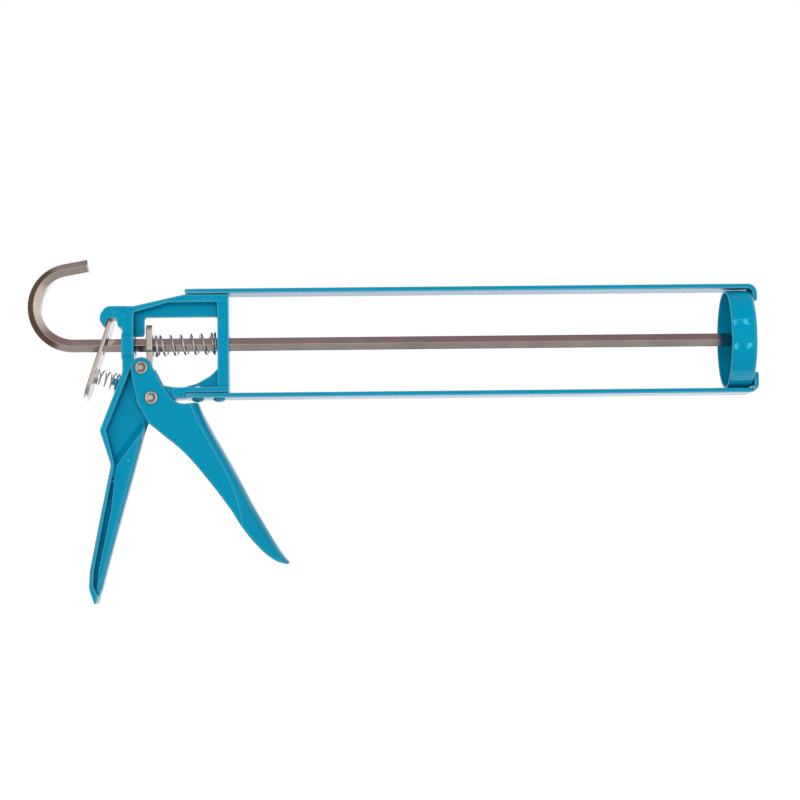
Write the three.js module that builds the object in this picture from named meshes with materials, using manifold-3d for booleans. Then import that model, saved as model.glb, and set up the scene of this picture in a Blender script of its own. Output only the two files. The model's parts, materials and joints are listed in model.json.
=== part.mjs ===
// Skeleton caulking gun for a 50 mm cartridge: a cast body with its grip, two straps that carry a
// front cup, a hexagonal push rod with a pull hook, a squeeze trigger that shoves a drive plate
// along the rod, and a sprung brake plate that the thumb presses to free the rod.
//
// Millimetres. The sketches are drawn from a datum where the rod's axis leaves the front face of
// the cast body: +X runs along the rod to the cup, +Z is up, the trigger hangs down. The whole gun
// is then placed so that the trigger's pivot is the origin.

import * as THREE from 'three';
import { mergeVertices } from 'three/addons/utils/BufferGeometryUtils.js';
import Module from 'manifold-3d';

const wasm = await Module();
wasm.setup();

// ---------------------------------------------------------------- driving dimensions

const GAP = 0.3; // clearance between neighbouring pieces
const DEG = Math.PI / 180;

const ROD_FLATS = 7; // hexagonal bar, across flats
const ROD_CORNERS = ROD_FLATS / Math.cos(30 * DEG);
const ROD_TWIST = 5.5 * DEG; // how far the bar stands turned in its round holes
const ROD_HOLE = 4.6; // radius of the holes that guide it
const ROD_END = 271.6; // shoulder where the hexagon stops
const NECK_RADIUS = 3; // M6 end behind the nut
const NECK_END = 279.9;

const HOOK_START = -82.4; // where the bar starts to bend
const HOOK_LOW_RADIUS = 21;
const HOOK_HIGH_RADIUS = 19.5;
const HOOK_RISE = 10.5 * DEG; // the last straight stretch points up this much
const HOOK_TIP = 13;

const SEAT_HALF_HEIGHT = 26.2; // cast front plate, up and down from the rod
const SEAT_THICK = 6;
const FLANGE_HALF_WIDTH = 9;
const SEAT_HALF_WIDTH = 8.5;
const WEB_HALF = 1.5;
const HUB_HALF = 8.4;
const HUB_RADIUS = 8.2;
const GRIP_PAD_HALF = 5.5;

const RAIL_INNER = 26.5; // from the rod's axis to a strap's inner face: a 53 mm bay
const RAIL_THICK = 2.5;
const RAIL_HALF_WIDTH = 10;
const RAIL_REAR = -23.1;
const RAIL_FRONT = 280.8;
const RAIL_BEND = 5;
const TOP_LIP = 19.9; // how near the rod's axis each strap's bent end comes
const BOTTOM_LIP = 18.3;

const CUP_RADIUS = 26.2;
const CUP_WALL = 1;
const CUP_REAR = 264.4;
const CUP_FRONT = RAIL_FRONT - RAIL_THICK - GAP;
const CUP_EDGE = 2;
const NOZZLE_RADIUS = 13;

const RIVET_X = [-16.9, -5.6]; // the two rivets through each strap
const RIVET_SHANK = 1.8;
const RIVET_HEAD = 3.2;
const RIVET_DEPTH = 6.5; // how far a shank reaches from the strap's outer face

const PIVOT = new THREE.Vector2(-41, -28.75); // trigger pivot
const DRIVE_PIN = new THREE.Vector2(-46.15, -12.75);
const PIN_SHANK = 2.2;
const PIN_HOLE = 2.55;
const PIN_HEAD = 3.45;
const PIN_HEAD_THICK = 1.2;
const PIN_CUP = 2.1; // radius of the hollow in a pin's end
const PIN_CUP_DEPTH = 0.8;

const TRIGGER_HALF_WIDTH = 10.9;
const TRIGGER_SHEET = 1.6; // the cheeks pass outside the casting
const LOBE_RADIUS = 5.7; // round the drive pin

const DRIVE_PLATE_REAR = -43.6;
const DRIVE_PLATE_THICK = 3.3;
const DRIVE_SPRING_WIRE = 0.65; // wire radius
const DRIVE_SPRING_RADIUS = 5.85; // to the middle of the wire
const DRIVE_SPRING_SAG = 0.65; // its rear end hangs this low and its front end rides this high

const BRAKE_PIVOT = new THREE.Vector2(-62.35, 13.2);
const BRAKE_TILT = 18.3 * DEG;
const BRAKE_THICK = 2.2;
const BRAKE_HALF_WIDTH = 9.5;
const BRAKE_LENGTH = 44.6;
const BRAKE_SPRING_WIRE = 0.4;
const BRAKE_SPRING_RADIUS = 4.65;
const BRAKE_SPRING_FROM = new THREE.Vector2(-70.44, -16.6);
const BRAKE_SPRING_TO = new THREE.Vector2(-59.41, -19.8);
const PEG_RADIUS = 2;
const PEG_LENGTH = 3.7;

const NECK_HOLE = NECK_RADIUS + GAP;
const BACKING_RADIUS = 15;
const BACKING_REAR = ROD_END + GAP;
const BACKING_THICK = 1.3;
const PLUNGER_RADIUS = 23;
const PLUNGER_REAR = BACKING_REAR + BACKING_THICK + GAP;
const PLUNGER_SHEET = 1;
const WASHER_RADIUS = 5.3;
const WASHER_REAR = PLUNGER_REAR + PLUNGER_SHEET + GAP;
const WASHER_THICK = 1.1;
const NUT_FLATS = 10;
const NUT_REAR = WASHER_REAR + WASHER_THICK + GAP;
const NUT_THICK = 3.2;

// ---------------------------------------------------------------- materials

const enamel = new THREE.MeshStandardMaterial({ color: '#0a97bd', roughness: 0.28, metalness: 0.0 });
const enamelDark = new THREE.MeshStandardMaterial({ color: '#0b86ad', roughness: 0.3, metalness: 0.0 });
const platedBar = new THREE.MeshStandardMaterial({ color: '#b3aaa4', roughness: 0.25, metalness: 1.0 });
const nickel = new THREE.MeshStandardMaterial({ color: '#cfc8b8', roughness: 0.3, metalness: 1.0 });
const springWire = new THREE.MeshStandardMaterial({ color: '#c9c9c9', roughness: 0.2, metalness: 1.0 });
const zincPlate = new THREE.MeshStandardMaterial({ color: '#bfc2c4', roughness: 0.35, metalness: 1.0 });

// ---------------------------------------------------------------- tools

/** A closed three.js geometry as a solid that can be joined and cut. */
function solid(geometry) {
  const bare = geometry.clone();
  bare.deleteAttribute('normal');
  bare.deleteAttribute('uv');
  const merged = mergeVertices(bare, 1e-4);
  const at = merged.index.array;
  const kept = [];
  for (let i = 0; i < at.length; i += 3) {
    const [a, b, c] = [at[i], at[i + 1], at[i + 2]];
    if (a !== b && b !== c && c !== a) kept.push(a, b, c);
  }
  const points = merged.attributes.position.array;
  return new wasm.Manifold(new wasm.Mesh({
    numProp: 3,
    vertProperties: new Float32Array(points),
    triVerts: new Uint32Array(kept),
  }));
}

/** All the solids in a list joined to one. */
function join(first, ...others) {
  return others.reduce((whole, piece) => whole.add(piece), first);
}

/** A solid as a named mesh. */
function mesh(name, body, material) {
  const raw = body.getMesh();
  const geometry = new THREE.BufferGeometry();
  geometry.setAttribute('position', new THREE.BufferAttribute(new Float32Array(raw.vertProperties), 3));
  geometry.setIndex(new THREE.BufferAttribute(new Uint32Array(raw.triVerts), 1));
  geometry.computeVertexNormals();
  const result = new THREE.Mesh(geometry, material);
  result.name = name;
  return result;
}

/** Corners given as [across, up] or [across, up, radius], with each radius drawn as an arc. */
function rounded(corners, arcSteps = 5) {
  const points = [];
  corners.forEach(([x, z, radius = 0], i) => {
    const here = new THREE.Vector2(x, z);
    if (radius === 0) {
      points.push(here);
      return;
    }
    const before = new THREE.Vector2(...corners.at(i - 1).slice(0, 2)).sub(here).normalize();
    const after = new THREE.Vector2(...corners[(i + 1) % corners.length].slice(0, 2)).sub(here).normalize();
    const half = Math.acos(THREE.MathUtils.clamp(before.dot(after), -1, 1)) / 2;
    const middle = before.clone().add(after).normalize().multiplyScalar(radius / Math.sin(half));
    const centre = here.clone().add(middle);
    const from = before.multiplyScalar(radius / Math.tan(half)).add(here).sub(centre);
    const to = after.multiplyScalar(radius / Math.tan(half)).add(here).sub(centre);
    let turn = to.angle() - from.angle();
    if (turn > Math.PI) turn -= 2 * Math.PI;
    if (turn < -Math.PI) turn += 2 * Math.PI;
    for (let k = 0; k <= arcSteps; k += 1) {
      const spoke = from.clone().rotateAround(new THREE.Vector2(), (turn * k) / arcSteps);
      points.push(spoke.add(centre));
    }
  });
  return points;
}

/** A side-view outline (X, Z) given thickness across the gun (Y). */
function sidePlate(shape, width, centreY = 0, curveSegments = 12) {
  const drawn = Array.isArray(shape) ? new THREE.Shape(rounded(shape)) : shape;
  const geometry = new THREE.ExtrudeGeometry(drawn, { depth: width, bevelEnabled: false, curveSegments });
  geometry.rotateX(Math.PI / 2);
  geometry.translate(0, centreY + width / 2, 0);
  return solid(geometry);
}

/** An end-view outline (Y, Z) given thickness along the rod (X). */
function endPlate(corners, fromX, thick) {
  const drawn = new THREE.Shape(rounded(corners));
  const geometry = new THREE.ExtrudeGeometry(drawn, { depth: thick, bevelEnabled: false });
  const [x, y, z] = [new THREE.Vector3(1, 0, 0), new THREE.Vector3(0, 1, 0), new THREE.Vector3(0, 0, 1)];
  geometry.applyMatrix4(new THREE.Matrix4().makeBasis(y, z, x));
  geometry.translate(fromX, 0, 0);
  return solid(geometry);
}

/** A turned piece: [radius, height] pairs from the axis and back to it, about an axis direction. */
function turned(profile, axis, at, segments = 24) {
  const points = profile.map(([radius, height]) => new THREE.Vector2(radius, height));
  const geometry = new THREE.LatheGeometry(points, segments);
  const turn = new THREE.Quaternion().setFromUnitVectors(new THREE.Vector3(0, 1, 0), axis);
  geometry.applyQuaternion(turn);
  geometry.translate(at.x, at.y, at.z);
  return solid(geometry);
}

const ALONG = new THREE.Vector3(1, 0, 0);
const ACROSS = new THREE.Vector3(0, 1, 0);
const UP = new THREE.Vector3(0, 0, 1);
const DATUM = new THREE.Vector3(0, 0, 0);

/** A straight round bar from one height to another on an axis. */
function bar(radius, low, high, axis, at = DATUM, segments = 24) {
  return turned([[0, low], [radius, low], [radius, high], [0, high]], axis, at, segments);
}

/** The centre of a pin that crosses the gun, from its side-view place. */
function across(point) {
  return new THREE.Vector3(point.x, 0, point.y);
}

/** A solid skin over convex rings of points, one ring to the next, with both ends closed. */
function loft(rings) {
  const count = rings[0].length;
  const points = rings.flat();
  const last = points.length - count;
  const faces = [];
  for (let start = 0; start < last; start += count) {
    for (let i = 0; i < count; i += 1) {
      const [a, b] = [start + i, start + ((i + 1) % count)];
      faces.push([a, b, b + count], [a, b + count, a + count]);
    }
  }
  for (let i = 1; i + 1 < count; i += 1) {
    faces.push([0, i + 1, i], [last, last + i, last + i + 1]);
  }
  const volume = faces.reduce((sum, [a, b, c]) => (
    sum + points[a].dot(points[b].clone().cross(points[c]))
  ), 0);
  const outward = volume > 0 ? faces : faces.map(([a, b, c]) => [a, c, b]);
  return new wasm.Manifold(new wasm.Mesh({
    numProp: 3,
    vertProperties: new Float32Array(points.flatMap((p) => p.toArray())),
    triVerts: new Uint32Array(outward.flat()),
  }));
}

// ---------------------------------------------------------------- the cast body

/** Side view of everything the casting covers, drawn solid. */
const CASTING_OUTLINE = [
  [-65.9, 8.2, 0.8], [-68.3, 13.2, 3], [-67.9, 16.6, 5], [-64.6, 20.4, 4.5], [-50.4, 20.2], [-23.2, 26.2],
  [0, SEAT_HALF_HEIGHT], [0, -SEAT_HALF_HEIGHT], [-23.4, -SEAT_HALF_HEIGHT], [-23.4, -29],
  [-30.5, -29, 2], [-43.1, -41.5, 6], [-46.2, -50.7], [-52, -72], [-56.7, -88.7],
  [-63.6, -113.8], [-67.5, -128.7, 6], [-71, -138.2, 0.5], [-74.1, -128.6, 8],
  [-73.6, -119.5, 10], [-67.5, -88.6], [-62.4, -63.8, 5], [-68.3, -45.6, 2.2], [-56.3, -15.1],
  [-56.3, 8.5], [-58.6, 9.2, 0.8], [-59.5, 13.9], [-63.85, 13.9],
];

/** The opening in the middle of the body: the rod, drive plate and its spring work in it. */
const WINDOW = [
  [-45, 14.7, 1.2], [-6.1, 14.7, 1.2], [-6.1, -12.6, 2], [-10.2, -16.6, 6], [-17.2, -20.6, 14],
  [-26.5, -23.2, 12], [-34.5, -22.6], [-38, -20.6, 4], [-44.5, -20.6, 3], [-50.3, -14.8, 2],
  [-50.3, 3.9, 0.8], [-45, 3.9, 2.6],
];

/** The nose and the top flange, which slopes up to meet the top strap. */
const TOP_FLANGE = [
  [-65.9, 8.2, 0.8], [-68.3, 13.2, 3], [-67.9, 16.6, 5], [-64.6, 20.4, 4.5], [-50.4, 20.2], [-23.2, 26.2],
  [0, SEAT_HALF_HEIGHT], [0, 22], [-31.9, 22, 3], [-50.1, 16.9, 0.8], [-50.3, 13.9], [-63.85, 13.9],
];

const POST = [[-56.3, 8.5], [-58.6, 9.2, 0.8], [-59.5, 13.9], [-50.3, 13.9], [-50.3, -8], [-56.3, -16]];

const LOWER_FLANGE = [
  [0, -23.2], [0, -26.2], [-23.4, -26.2], [-23.4, -29], [-30.3, -29, 2.4], [-30.3, -23.2, 2.4],
];

const HUB_NECK = [[-41, -21], [-28, -23.2], [-28, -29], [-36, -34.5], [-41, -36]];

/** The palm flange down the rear of the grip, outer edge first, then its inner edge. */
const PALM_FLANGE = [
  [-50.3, -8], [-56.3, -8], [-56.3, -15.1], [-68.3, -45.6, 2.2], [-62.4, -63.8, 5], [-67.5, -88.6],
  [-73.6, -119.5, 10], [-74.1, -128.6, 8], [-71, -138.2, 0.5], [-69.1, -133.4],
  [-71.9, -127.8, 6], [-71.4, -119.2, 8], [-65.4, -88.2], [-60.5, -63.6, 4],
  [-65, -45.4, 2], [-53.4, -17],
];

/** The crest of the slanting step across the grip, and the foot it slopes down to. */
const STEP_CREST = [[-46.5, -46.4], [-60.3, -64.8]];
const STEP_FOOT = [[-47.4, -41.7], [-60.5, -59.9]];

/** The thicker, finger side of the grip below the step. */
const GRIP_PAD = [
  STEP_CREST[0], [-46.2, -50.7], [-52, -72], [-56.7, -88.7], [-63.6, -113.8],
  [-67.5, -128.7, 4], [-69, -132.4, 0.8], [-70.2, -127.5, 4], [-69.4, -119, 8], [-62.9, -88],
  STEP_CREST[1],
];

/** The slope from the web up into the pad, just under its crest, on both sides of the grip. */
function stepRamp() {
  const crest = STEP_CREST.map(([x, z]) => [x + 0.4, GRIP_PAD_HALF - 0.1, z - 0.3]);
  const foot = STEP_FOOT.map(([x, z]) => [x, WEB_HALF - GAP, z]);
  const near = [...crest, ...foot];
  return wasm.Manifold.hull([...near, ...near.map(([x, y, z]) => [x, -y, z])]);
}

function castBody() {
  const web = sidePlate(CASTING_OUTLINE, 2 * WEB_HALF);
  const flange = 2 * FLANGE_HALF_WIDTH;
  const bossOutline = [
    [-10, -7.7, 3.5], [10, -7.7, 3.5], [10, 5.8, 3.5], [-10, 5.8, 3.5],
  ];
  const seatOutline = [
    [-SEAT_HALF_WIDTH, -SEAT_HALF_HEIGHT, 1], [SEAT_HALF_WIDTH, -SEAT_HALF_HEIGHT, 1],
    [SEAT_HALF_WIDTH, SEAT_HALF_HEIGHT, 1], [-SEAT_HALF_WIDTH, SEAT_HALF_HEIGHT, 1],
  ];
  const pegAxis = across(BRAKE_SPRING_FROM).sub(across(BRAKE_SPRING_TO)).normalize();
  let body = web.subtract(sidePlate(WINDOW, flange));
  body = join(
    body,
    sidePlate(TOP_FLANGE, flange),
    sidePlate(POST, flange),
    sidePlate(LOWER_FLANGE, flange),
    sidePlate(PALM_FLANGE, flange),
    sidePlate(HUB_NECK, 2 * HUB_HALF),
    sidePlate(GRIP_PAD, 2 * GRIP_PAD_HALF),
    stepRamp(),
    bar(HUB_RADIUS, -HUB_HALF, HUB_HALF, ACROSS, across(PIVOT)),
    endPlate(bossOutline, -56.8, 6.7),
    endPlate(seatOutline, -SEAT_THICK, SEAT_THICK),
    bar(PEG_RADIUS, -3, PEG_LENGTH, pegAxis, across(BRAKE_SPRING_TO), 16),
  );
  body = body.subtract(bar(ROD_HOLE, -70, 10, ALONG, DATUM, 32));
  body = body.subtract(bar(PIN_HOLE, -12, 12, ACROSS, across(PIVOT)));
  for (const x of RIVET_X) {
    for (const side of [1, -1]) {
      const mouth = new THREE.Vector3(x, 0, side * RAIL_INNER);
      const axis = UP.clone().multiplyScalar(-side);
      const depth = RIVET_DEPTH - RAIL_THICK + GAP;
      body = body.subtract(bar(RIVET_SHANK + GAP, -1, depth, axis, mouth, 16));
    }
  }
  return mesh('cast_body', body, enamel);
}

// ---------------------------------------------------------------- straps, rivets and cup

/** One flat strap, bent over the cup's front edge; side is 1 above the rod and -1 below. */
function strap(name, side, lip) {
  const outer = RAIL_INNER + RAIL_THICK;
  const inside = RAIL_FRONT - RAIL_THICK;
  const outline = [
    [RAIL_REAR, outer * side], [RAIL_FRONT, outer * side, RAIL_BEND], [RAIL_FRONT, lip * side, 1.1],
    [inside, lip * side, 1.1], [inside, RAIL_INNER * side, RAIL_BEND - RAIL_THICK],
    [RAIL_REAR, RAIL_INNER * side],
  ];
  let body = sidePlate(outline, 2 * RAIL_HALF_WIDTH);
  for (const x of RIVET_X) {
    body = body.subtract(bar(RIVET_SHANK + GAP, -40, 40, UP, new THREE.Vector3(x, 0, 0), 16));
    if (side > 0) body = body.subtract(countersink(x, outer));
  }
  return mesh(name, body, enamel);
}

/** The conical seat of a flush rivet in the top strap. */
function countersink(x, top) {
  const profile = [[0, -2], [RIVET_SHANK + GAP, -2], [RIVET_HEAD + GAP, 0], [RIVET_HEAD + GAP, 1], [0, 1]];
  return turned(profile, UP, new THREE.Vector3(x, 0, top), 16);
}

/** A rivet with a round head under the bottom strap. */
function roundRivet(name, x) {
  const outer = -(RAIL_INNER + RAIL_THICK);
  const profile = [
    [0, -RIVET_DEPTH], [RIVET_SHANK, -RIVET_DEPTH], [RIVET_SHANK, GAP], [RIVET_HEAD, GAP],
    [RIVET_HEAD * 0.93, 0.9], [RIVET_HEAD * 0.62, 1.5], [0, 1.75],
  ];
  const down = UP.clone().multiplyScalar(-1);
  return mesh(name, turned(profile, down, new THREE.Vector3(x, 0, outer), 20), enamel);
}

/** A rivet that lies flush in the top strap's countersink. */
function flushRivet(name, x) {
  const outer = RAIL_INNER + RAIL_THICK;
  const profile = [
    [0, -RIVET_DEPTH], [RIVET_SHANK, -RIVET_DEPTH], [RIVET_SHANK, -2], [RIVET_HEAD, -0.25], [0, -0.1],
  ];
  return mesh(name, turned(profile, UP, new THREE.Vector3(x, 0, outer), 20), enamel);
}

/** A pressed cup that holds the cartridge's shoulder, with a hole for its nozzle. */
function frontCup() {
  const inner = CUP_RADIUS - CUP_WALL;
  const profile = [[CUP_RADIUS, CUP_REAR]];
  const steps = 4;
  for (let k = 0; k <= steps; k += 1) {
    const a = (k / steps) * 90 * DEG;
    profile.push([
      CUP_RADIUS - CUP_EDGE + CUP_EDGE * Math.cos(a), CUP_FRONT - CUP_EDGE + CUP_EDGE * Math.sin(a),
    ]);
  }
  profile.push([NOZZLE_RADIUS, CUP_FRONT], [NOZZLE_RADIUS, CUP_FRONT - CUP_WALL]);
  const edge = CUP_EDGE - CUP_WALL;
  for (let k = steps; k >= 0; k -= 1) {
    const a = (k / steps) * 90 * DEG;
    profile.push([inner - edge + edge * Math.cos(a), CUP_FRONT - CUP_EDGE + edge * Math.sin(a)]);
  }
  profile.push([inner, CUP_REAR], [CUP_RADIUS, CUP_REAR]);
  return mesh('front_cup', turned(profile, ALONG, DATUM, 44), enamel);
}

// ---------------------------------------------------------------- trigger and its pins

/** One cheek of the trigger: a lobe round the drive pin, wide behind the fingers, thin at its foot. */
function cheekShape() {
  const shape = new THREE.Shape();
  shape.absarc(DRIVE_PIN.x, DRIVE_PIN.y, LOBE_RADIUS, 25 * DEG, 185 * DEG, false);
  shape.splineThru([[-51.1, -18.5], [-49.5, -26.1], [-47.3, -33.1], [-42.4, -42.3]]
    .map(([x, z]) => new THREE.Vector2(x, z)));
  shape.splineThru([[-36.5, -47.2], [-23.5, -58.2], [-9.7, -74.5], [2, -90.3]]
    .map(([x, z]) => new THREE.Vector2(x, z)));
  shape.lineTo(6.6, -88.4);
  shape.splineThru([[1.6, -74], [-3.4, -63.4], [-14.4, -44.6], [-20.6, -31.7]]
    .map(([x, z]) => new THREE.Vector2(x, z)));
  shape.lineTo(-22.8, -31.9);
  shape.quadraticCurveTo(-27.6, -32.2, -30.6, -28.6);
  shape.lineTo(-34.9, -22.4);
  shape.closePath();
  return shape;
}

/** Stations down the finger side: [front x, front z, rear x, rear z, half width, rounding depth]. */
const FINGER_STATIONS = [
  [-16.4, -31.1, -23.9, -32.2, 1, 4.6],
  [-10.5, -43.4, -18.1, -46.2, 1, 4.6],
  [0.6, -63.2, -8.2, -67.2, 1, 4.8],
  [6.4, -74, -3.2, -79, 1, 5.4],
  [11.8, -84.7, 2, -90.3, 1, 7.4],
  [16.6, -93.2, 7, -98.4, 0.99, 10.9],
  [21, -100.8, 12.4, -105.2, 0.97, 9.6],
  [25.4, -108, 18.6, -111.6, 0.9, 7.6],
  [29, -113.1, 24.6, -115.6, 0.76, 5],
  [31.6, -116.2, 29.8, -117.2, 0.42, 2],
];

/** The outline across the finger web at one station, drawn in by an inset. */
function fingerRing([fx, fz, rx, rz, widthShare, bulge], inset, rearReach) {
  const front = new THREE.Vector2(fx, fz);
  const rear = new THREE.Vector2(rx, rz);
  const back = rear.clone().sub(front);
  const depth = back.length();
  back.normalize();
  const half = Math.max(TRIGGER_HALF_WIDTH * widthShare - inset, 0.2);
  const drop = Math.min(bulge, depth) - inset * 0.4;
  const at = (along, side) => {
    const p = front.clone().addScaledVector(back, along);
    return new THREE.Vector3(p.x, side, p.y);
  };
  const ring = [at(depth + rearReach, -half)];
  const steps = 8;
  for (let k = 0; k <= steps; k += 1) {
    const a = (-90 + (180 * k) / steps) * DEG;
    const cosine = Math.cos(a);
    ring.push(at(inset + drop * (1 - cosine), half * Math.sin(a)));
  }
  ring.push(at(depth + rearReach, half));
  return ring;
}

function triggerLever() {
  const sheetMiddle = TRIGGER_HALF_WIDTH - TRIGGER_SHEET / 2;
  const cheeks = [-1, 1].map((side) => sidePlate(cheekShape(), TRIGGER_SHEET, side * sheetMiddle, 6));
  const outside = loft(FINGER_STATIONS.map((station) => fingerRing(station, 0, 0)));
  const first = [-19.2, -25.2, -26.7, -26.3, 1, 4.6];
  const hollow = [first, ...FINGER_STATIONS.slice(0, -1)];
  const inside = loft(hollow.map((station) => fingerRing(station, TRIGGER_SHEET, 4)));
  let body = join(outside.subtract(inside), ...cheeks);
  body = body.subtract(bar(PIN_HOLE, -12, 12, ACROSS, across(PIVOT)));
  body = body.subtract(bar(PIN_HOLE, -12, 12, ACROSS, across(DRIVE_PIN)));
  return mesh('trigger', body, enamelDark);
}

/** A tubular rivet across the trigger, with a rolled head and a hollow in each end. */
function hollowPin(name, place) {
  const inner = TRIGGER_HALF_WIDTH + GAP;
  const outer = inner + PIN_HEAD_THICK;
  const half = [
    [PIN_CUP * 0.6, outer - PIN_CUP_DEPTH], [PIN_CUP, outer - 0.1], [PIN_HEAD * 0.78, outer],
    [PIN_HEAD, outer - 0.5], [PIN_HEAD, inner], [PIN_SHANK, inner],
  ];
  const lower = half.map(([radius, height]) => [radius, -height]);
  const profile = [
    [0, -(outer - PIN_CUP_DEPTH)], ...lower, ...half.reverse(), [0, outer - PIN_CUP_DEPTH],
  ];
  return mesh(name, turned(profile, ACROSS, across(place), 24), nickel);
}

// ---------------------------------------------------------------- plates and springs

/** The plate that grips the rod and carries it forward: broad above, narrow between the cheeks. */
function drivePlate() {
  const outline = [
    [-10.4, 10.1, 3.5], [10.4, 10.1, 3.5], [10.4, -3.9, 0.8], [7.6, -3.9], [7.6, -19, 1.5],
    [-7.6, -19, 1.5], [-7.6, -3.9], [-10.4, -3.9, 0.8],
  ];
  const body = endPlate(outline, DRIVE_PLATE_REAR, DRIVE_PLATE_THICK);
  return mesh('drive_plate', body.subtract(bar(ROD_HOLE, -60, 10, ALONG, DATUM, 32)), nickel);
}

/** The plate that stops the rod from running back, drawn upright and then leaned back. */
function brakePlate() {
  const low = -BRAKE_LENGTH;
  const outline = [
    [-BRAKE_HALF_WIDTH, 0, 2], [BRAKE_HALF_WIDTH, 0, 2],
    [BRAKE_HALF_WIDTH, low, BRAKE_HALF_WIDTH - 0.6], [-BRAKE_HALF_WIDTH, low, BRAKE_HALF_WIDTH - 0.6],
  ];
  const along = BRAKE_PIVOT.y / Math.cos(BRAKE_TILT);
  const holeCentre = new THREE.Vector3(0, 0, 0.35 - along);
  const hole = bar(5.3, -5, 5, ALONG, holeCentre, 32);
  const plate = mesh('brake_plate', endPlate(outline, -BRAKE_THICK / 2, BRAKE_THICK).subtract(hole), nickel);
  plate.position.set(BRAKE_PIVOT.x, 0, BRAKE_PIVOT.y);
  plate.rotation.y = BRAKE_TILT;
  return plate;
}

/** A coil between two points with its end turns closed up; hand is 1 if it winds right-handed. */
class CoilPath extends THREE.Curve {
  constructor({ from, to, radius, closed, closedPitch, open, start, hand }) {
    super();
    const axis = to.clone().sub(from);
    Object.assign(this, { from, radius, closed, closedPitch, open, start });
    this.length = axis.length();
    this.axis = axis.normalize();
    this.side = new THREE.Vector3(0, -hand, 0);
    this.up = new THREE.Vector3().crossVectors(ACROSS, this.axis).negate();
    this.turns = 2 * closed + open;
  }

  getPoint(t, target = new THREE.Vector3()) {
    const turn = t * this.turns;
    const closedRun = this.closed * this.closedPitch;
    const openPitch = (this.length - 2 * closedRun) / this.open;
    let along = turn * this.closedPitch;
    if (turn > this.closed) along = closedRun + (turn - this.closed) * openPitch;
    if (turn > this.closed + this.open) {
      along = this.length - (this.turns - turn) * this.closedPitch;
    }
    const angle = (turn - this.start) * 2 * Math.PI;
    return target.copy(this.from)
      .addScaledVector(this.axis, along)
      .addScaledVector(this.side, this.radius * Math.sin(angle))
      .addScaledVector(this.up, this.radius * Math.cos(angle));
  }
}

/** Wire of a round section carried along a coil. */
function coil(name, path, wire, stepsPerTurn) {
  const section = new THREE.Shape().absarc(0, 0, wire, 0, 2 * Math.PI, false);
  const geometry = new THREE.ExtrudeGeometry(section, {
    steps: Math.round(path.turns * stepsPerTurn), curveSegments: 3, extrudePath: path,
  });
  return mesh(name, solid(geometry), springWire);
}

function driveSpring() {
  const plateFace = DRIVE_PLATE_REAR + DRIVE_PLATE_THICK;
  const clear = GAP + DRIVE_SPRING_WIRE;
  const path = new CoilPath({
    from: new THREE.Vector3(plateFace + clear, 0, -DRIVE_SPRING_SAG),
    to: new THREE.Vector3(-SEAT_THICK - clear, 0, DRIVE_SPRING_SAG),
    radius: DRIVE_SPRING_RADIUS,
    closed: 1.25,
    closedPitch: 1.6,
    open: 5.25,
    start: 0.4,
    hand: 1,
  });
  return coil('drive_spring', path, DRIVE_SPRING_WIRE, 12);
}

function brakeSpring() {
  const path = new CoilPath({
    from: across(BRAKE_SPRING_FROM),
    to: across(BRAKE_SPRING_TO),
    radius: BRAKE_SPRING_RADIUS,
    closed: 0.9,
    closedPitch: 0.9,
    open: 3.2,
    start: 0.75,
    hand: -1,
  });
  return coil('brake_spring', path, BRAKE_SPRING_WIRE, 12);
}

// ---------------------------------------------------------------- push rod and plunger

/** The hexagonal bar's section, corners towards the gun's two sides. */
function hexagon(corners, twist) {
  const points = [];
  for (let k = 0; k < 6; k += 1) {
    const a = (30 + 60 * k) * DEG + twist;
    points.push(new THREE.Vector2((corners / 2) * Math.cos(a), (corners / 2) * Math.sin(a)));
  }
  return new THREE.Shape(points);
}

/** The middle line of the rod from its shoulder, back along the gun and round the pull hook. */
function rodPath() {
  const points = [new THREE.Vector3(ROD_END, 0, 0)];
  const lowCentre = new THREE.Vector2(HOOK_START, HOOK_LOW_RADIUS);
  const highCentre = new THREE.Vector2(HOOK_START - HOOK_LOW_RADIUS + HOOK_HIGH_RADIUS, HOOK_LOW_RADIUS);
  const steps = 9;
  const arc = (centre, radius, from, to) => {
    for (let k = 0; k <= steps; k += 1) {
      const a = THREE.MathUtils.lerp(from, to, k / steps);
      points.push(new THREE.Vector3(centre.x + radius * Math.cos(a), 0, centre.y + radius * Math.sin(a)));
    }
  };
  arc(lowCentre, HOOK_LOW_RADIUS, -90 * DEG, -180 * DEG);
  points.pop();
  arc(highCentre, HOOK_HIGH_RADIUS, 180 * DEG, 90 * DEG + HOOK_RISE);
  const onward = new THREE.Vector3(Math.cos(HOOK_RISE), 0, Math.sin(HOOK_RISE));
  points.push(points.at(-1).clone().addScaledVector(onward, HOOK_TIP));
  return points;
}

/** A hexagonal skin carried along the rod's middle line, square to it at every point. */
function sweptHexagon(points, corners, twist) {
  const section = hexagon(corners, twist).getPoints();
  const rings = points.map((p, i) => {
    const before = points[Math.max(i - 1, 0)];
    const after = points[Math.min(i + 1, points.length - 1)];
    const run = p.clone().sub(before).normalize();
    const on = after.clone().sub(p).normalize();
    const tangent = run.add(on).normalize();
    const outward = new THREE.Vector3(tangent.z, 0, -tangent.x);
    return section.map((s) => p.clone().addScaledVector(outward, s.x).addScaledVector(ACROSS, s.y));
  });
  return loft(rings);
}

function pushRod() {
  const hexagonal = sweptHexagon(rodPath(), ROD_CORNERS, ROD_TWIST);
  const neck = bar(NECK_RADIUS, ROD_END - 2, NECK_END, ALONG);
  return mesh('push_rod', join(hexagonal, neck), platedBar);
}

/** A flat ring round the rod's neck. */
function ring(name, radius, rear, thick) {
  const profile = [
    [NECK_HOLE, rear], [radius, rear], [radius, rear + thick], [NECK_HOLE, rear + thick],
    [NECK_HOLE, rear],
  ];
  return mesh(name, turned(profile, ALONG, DATUM, 40), zincPlate);
}

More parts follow.
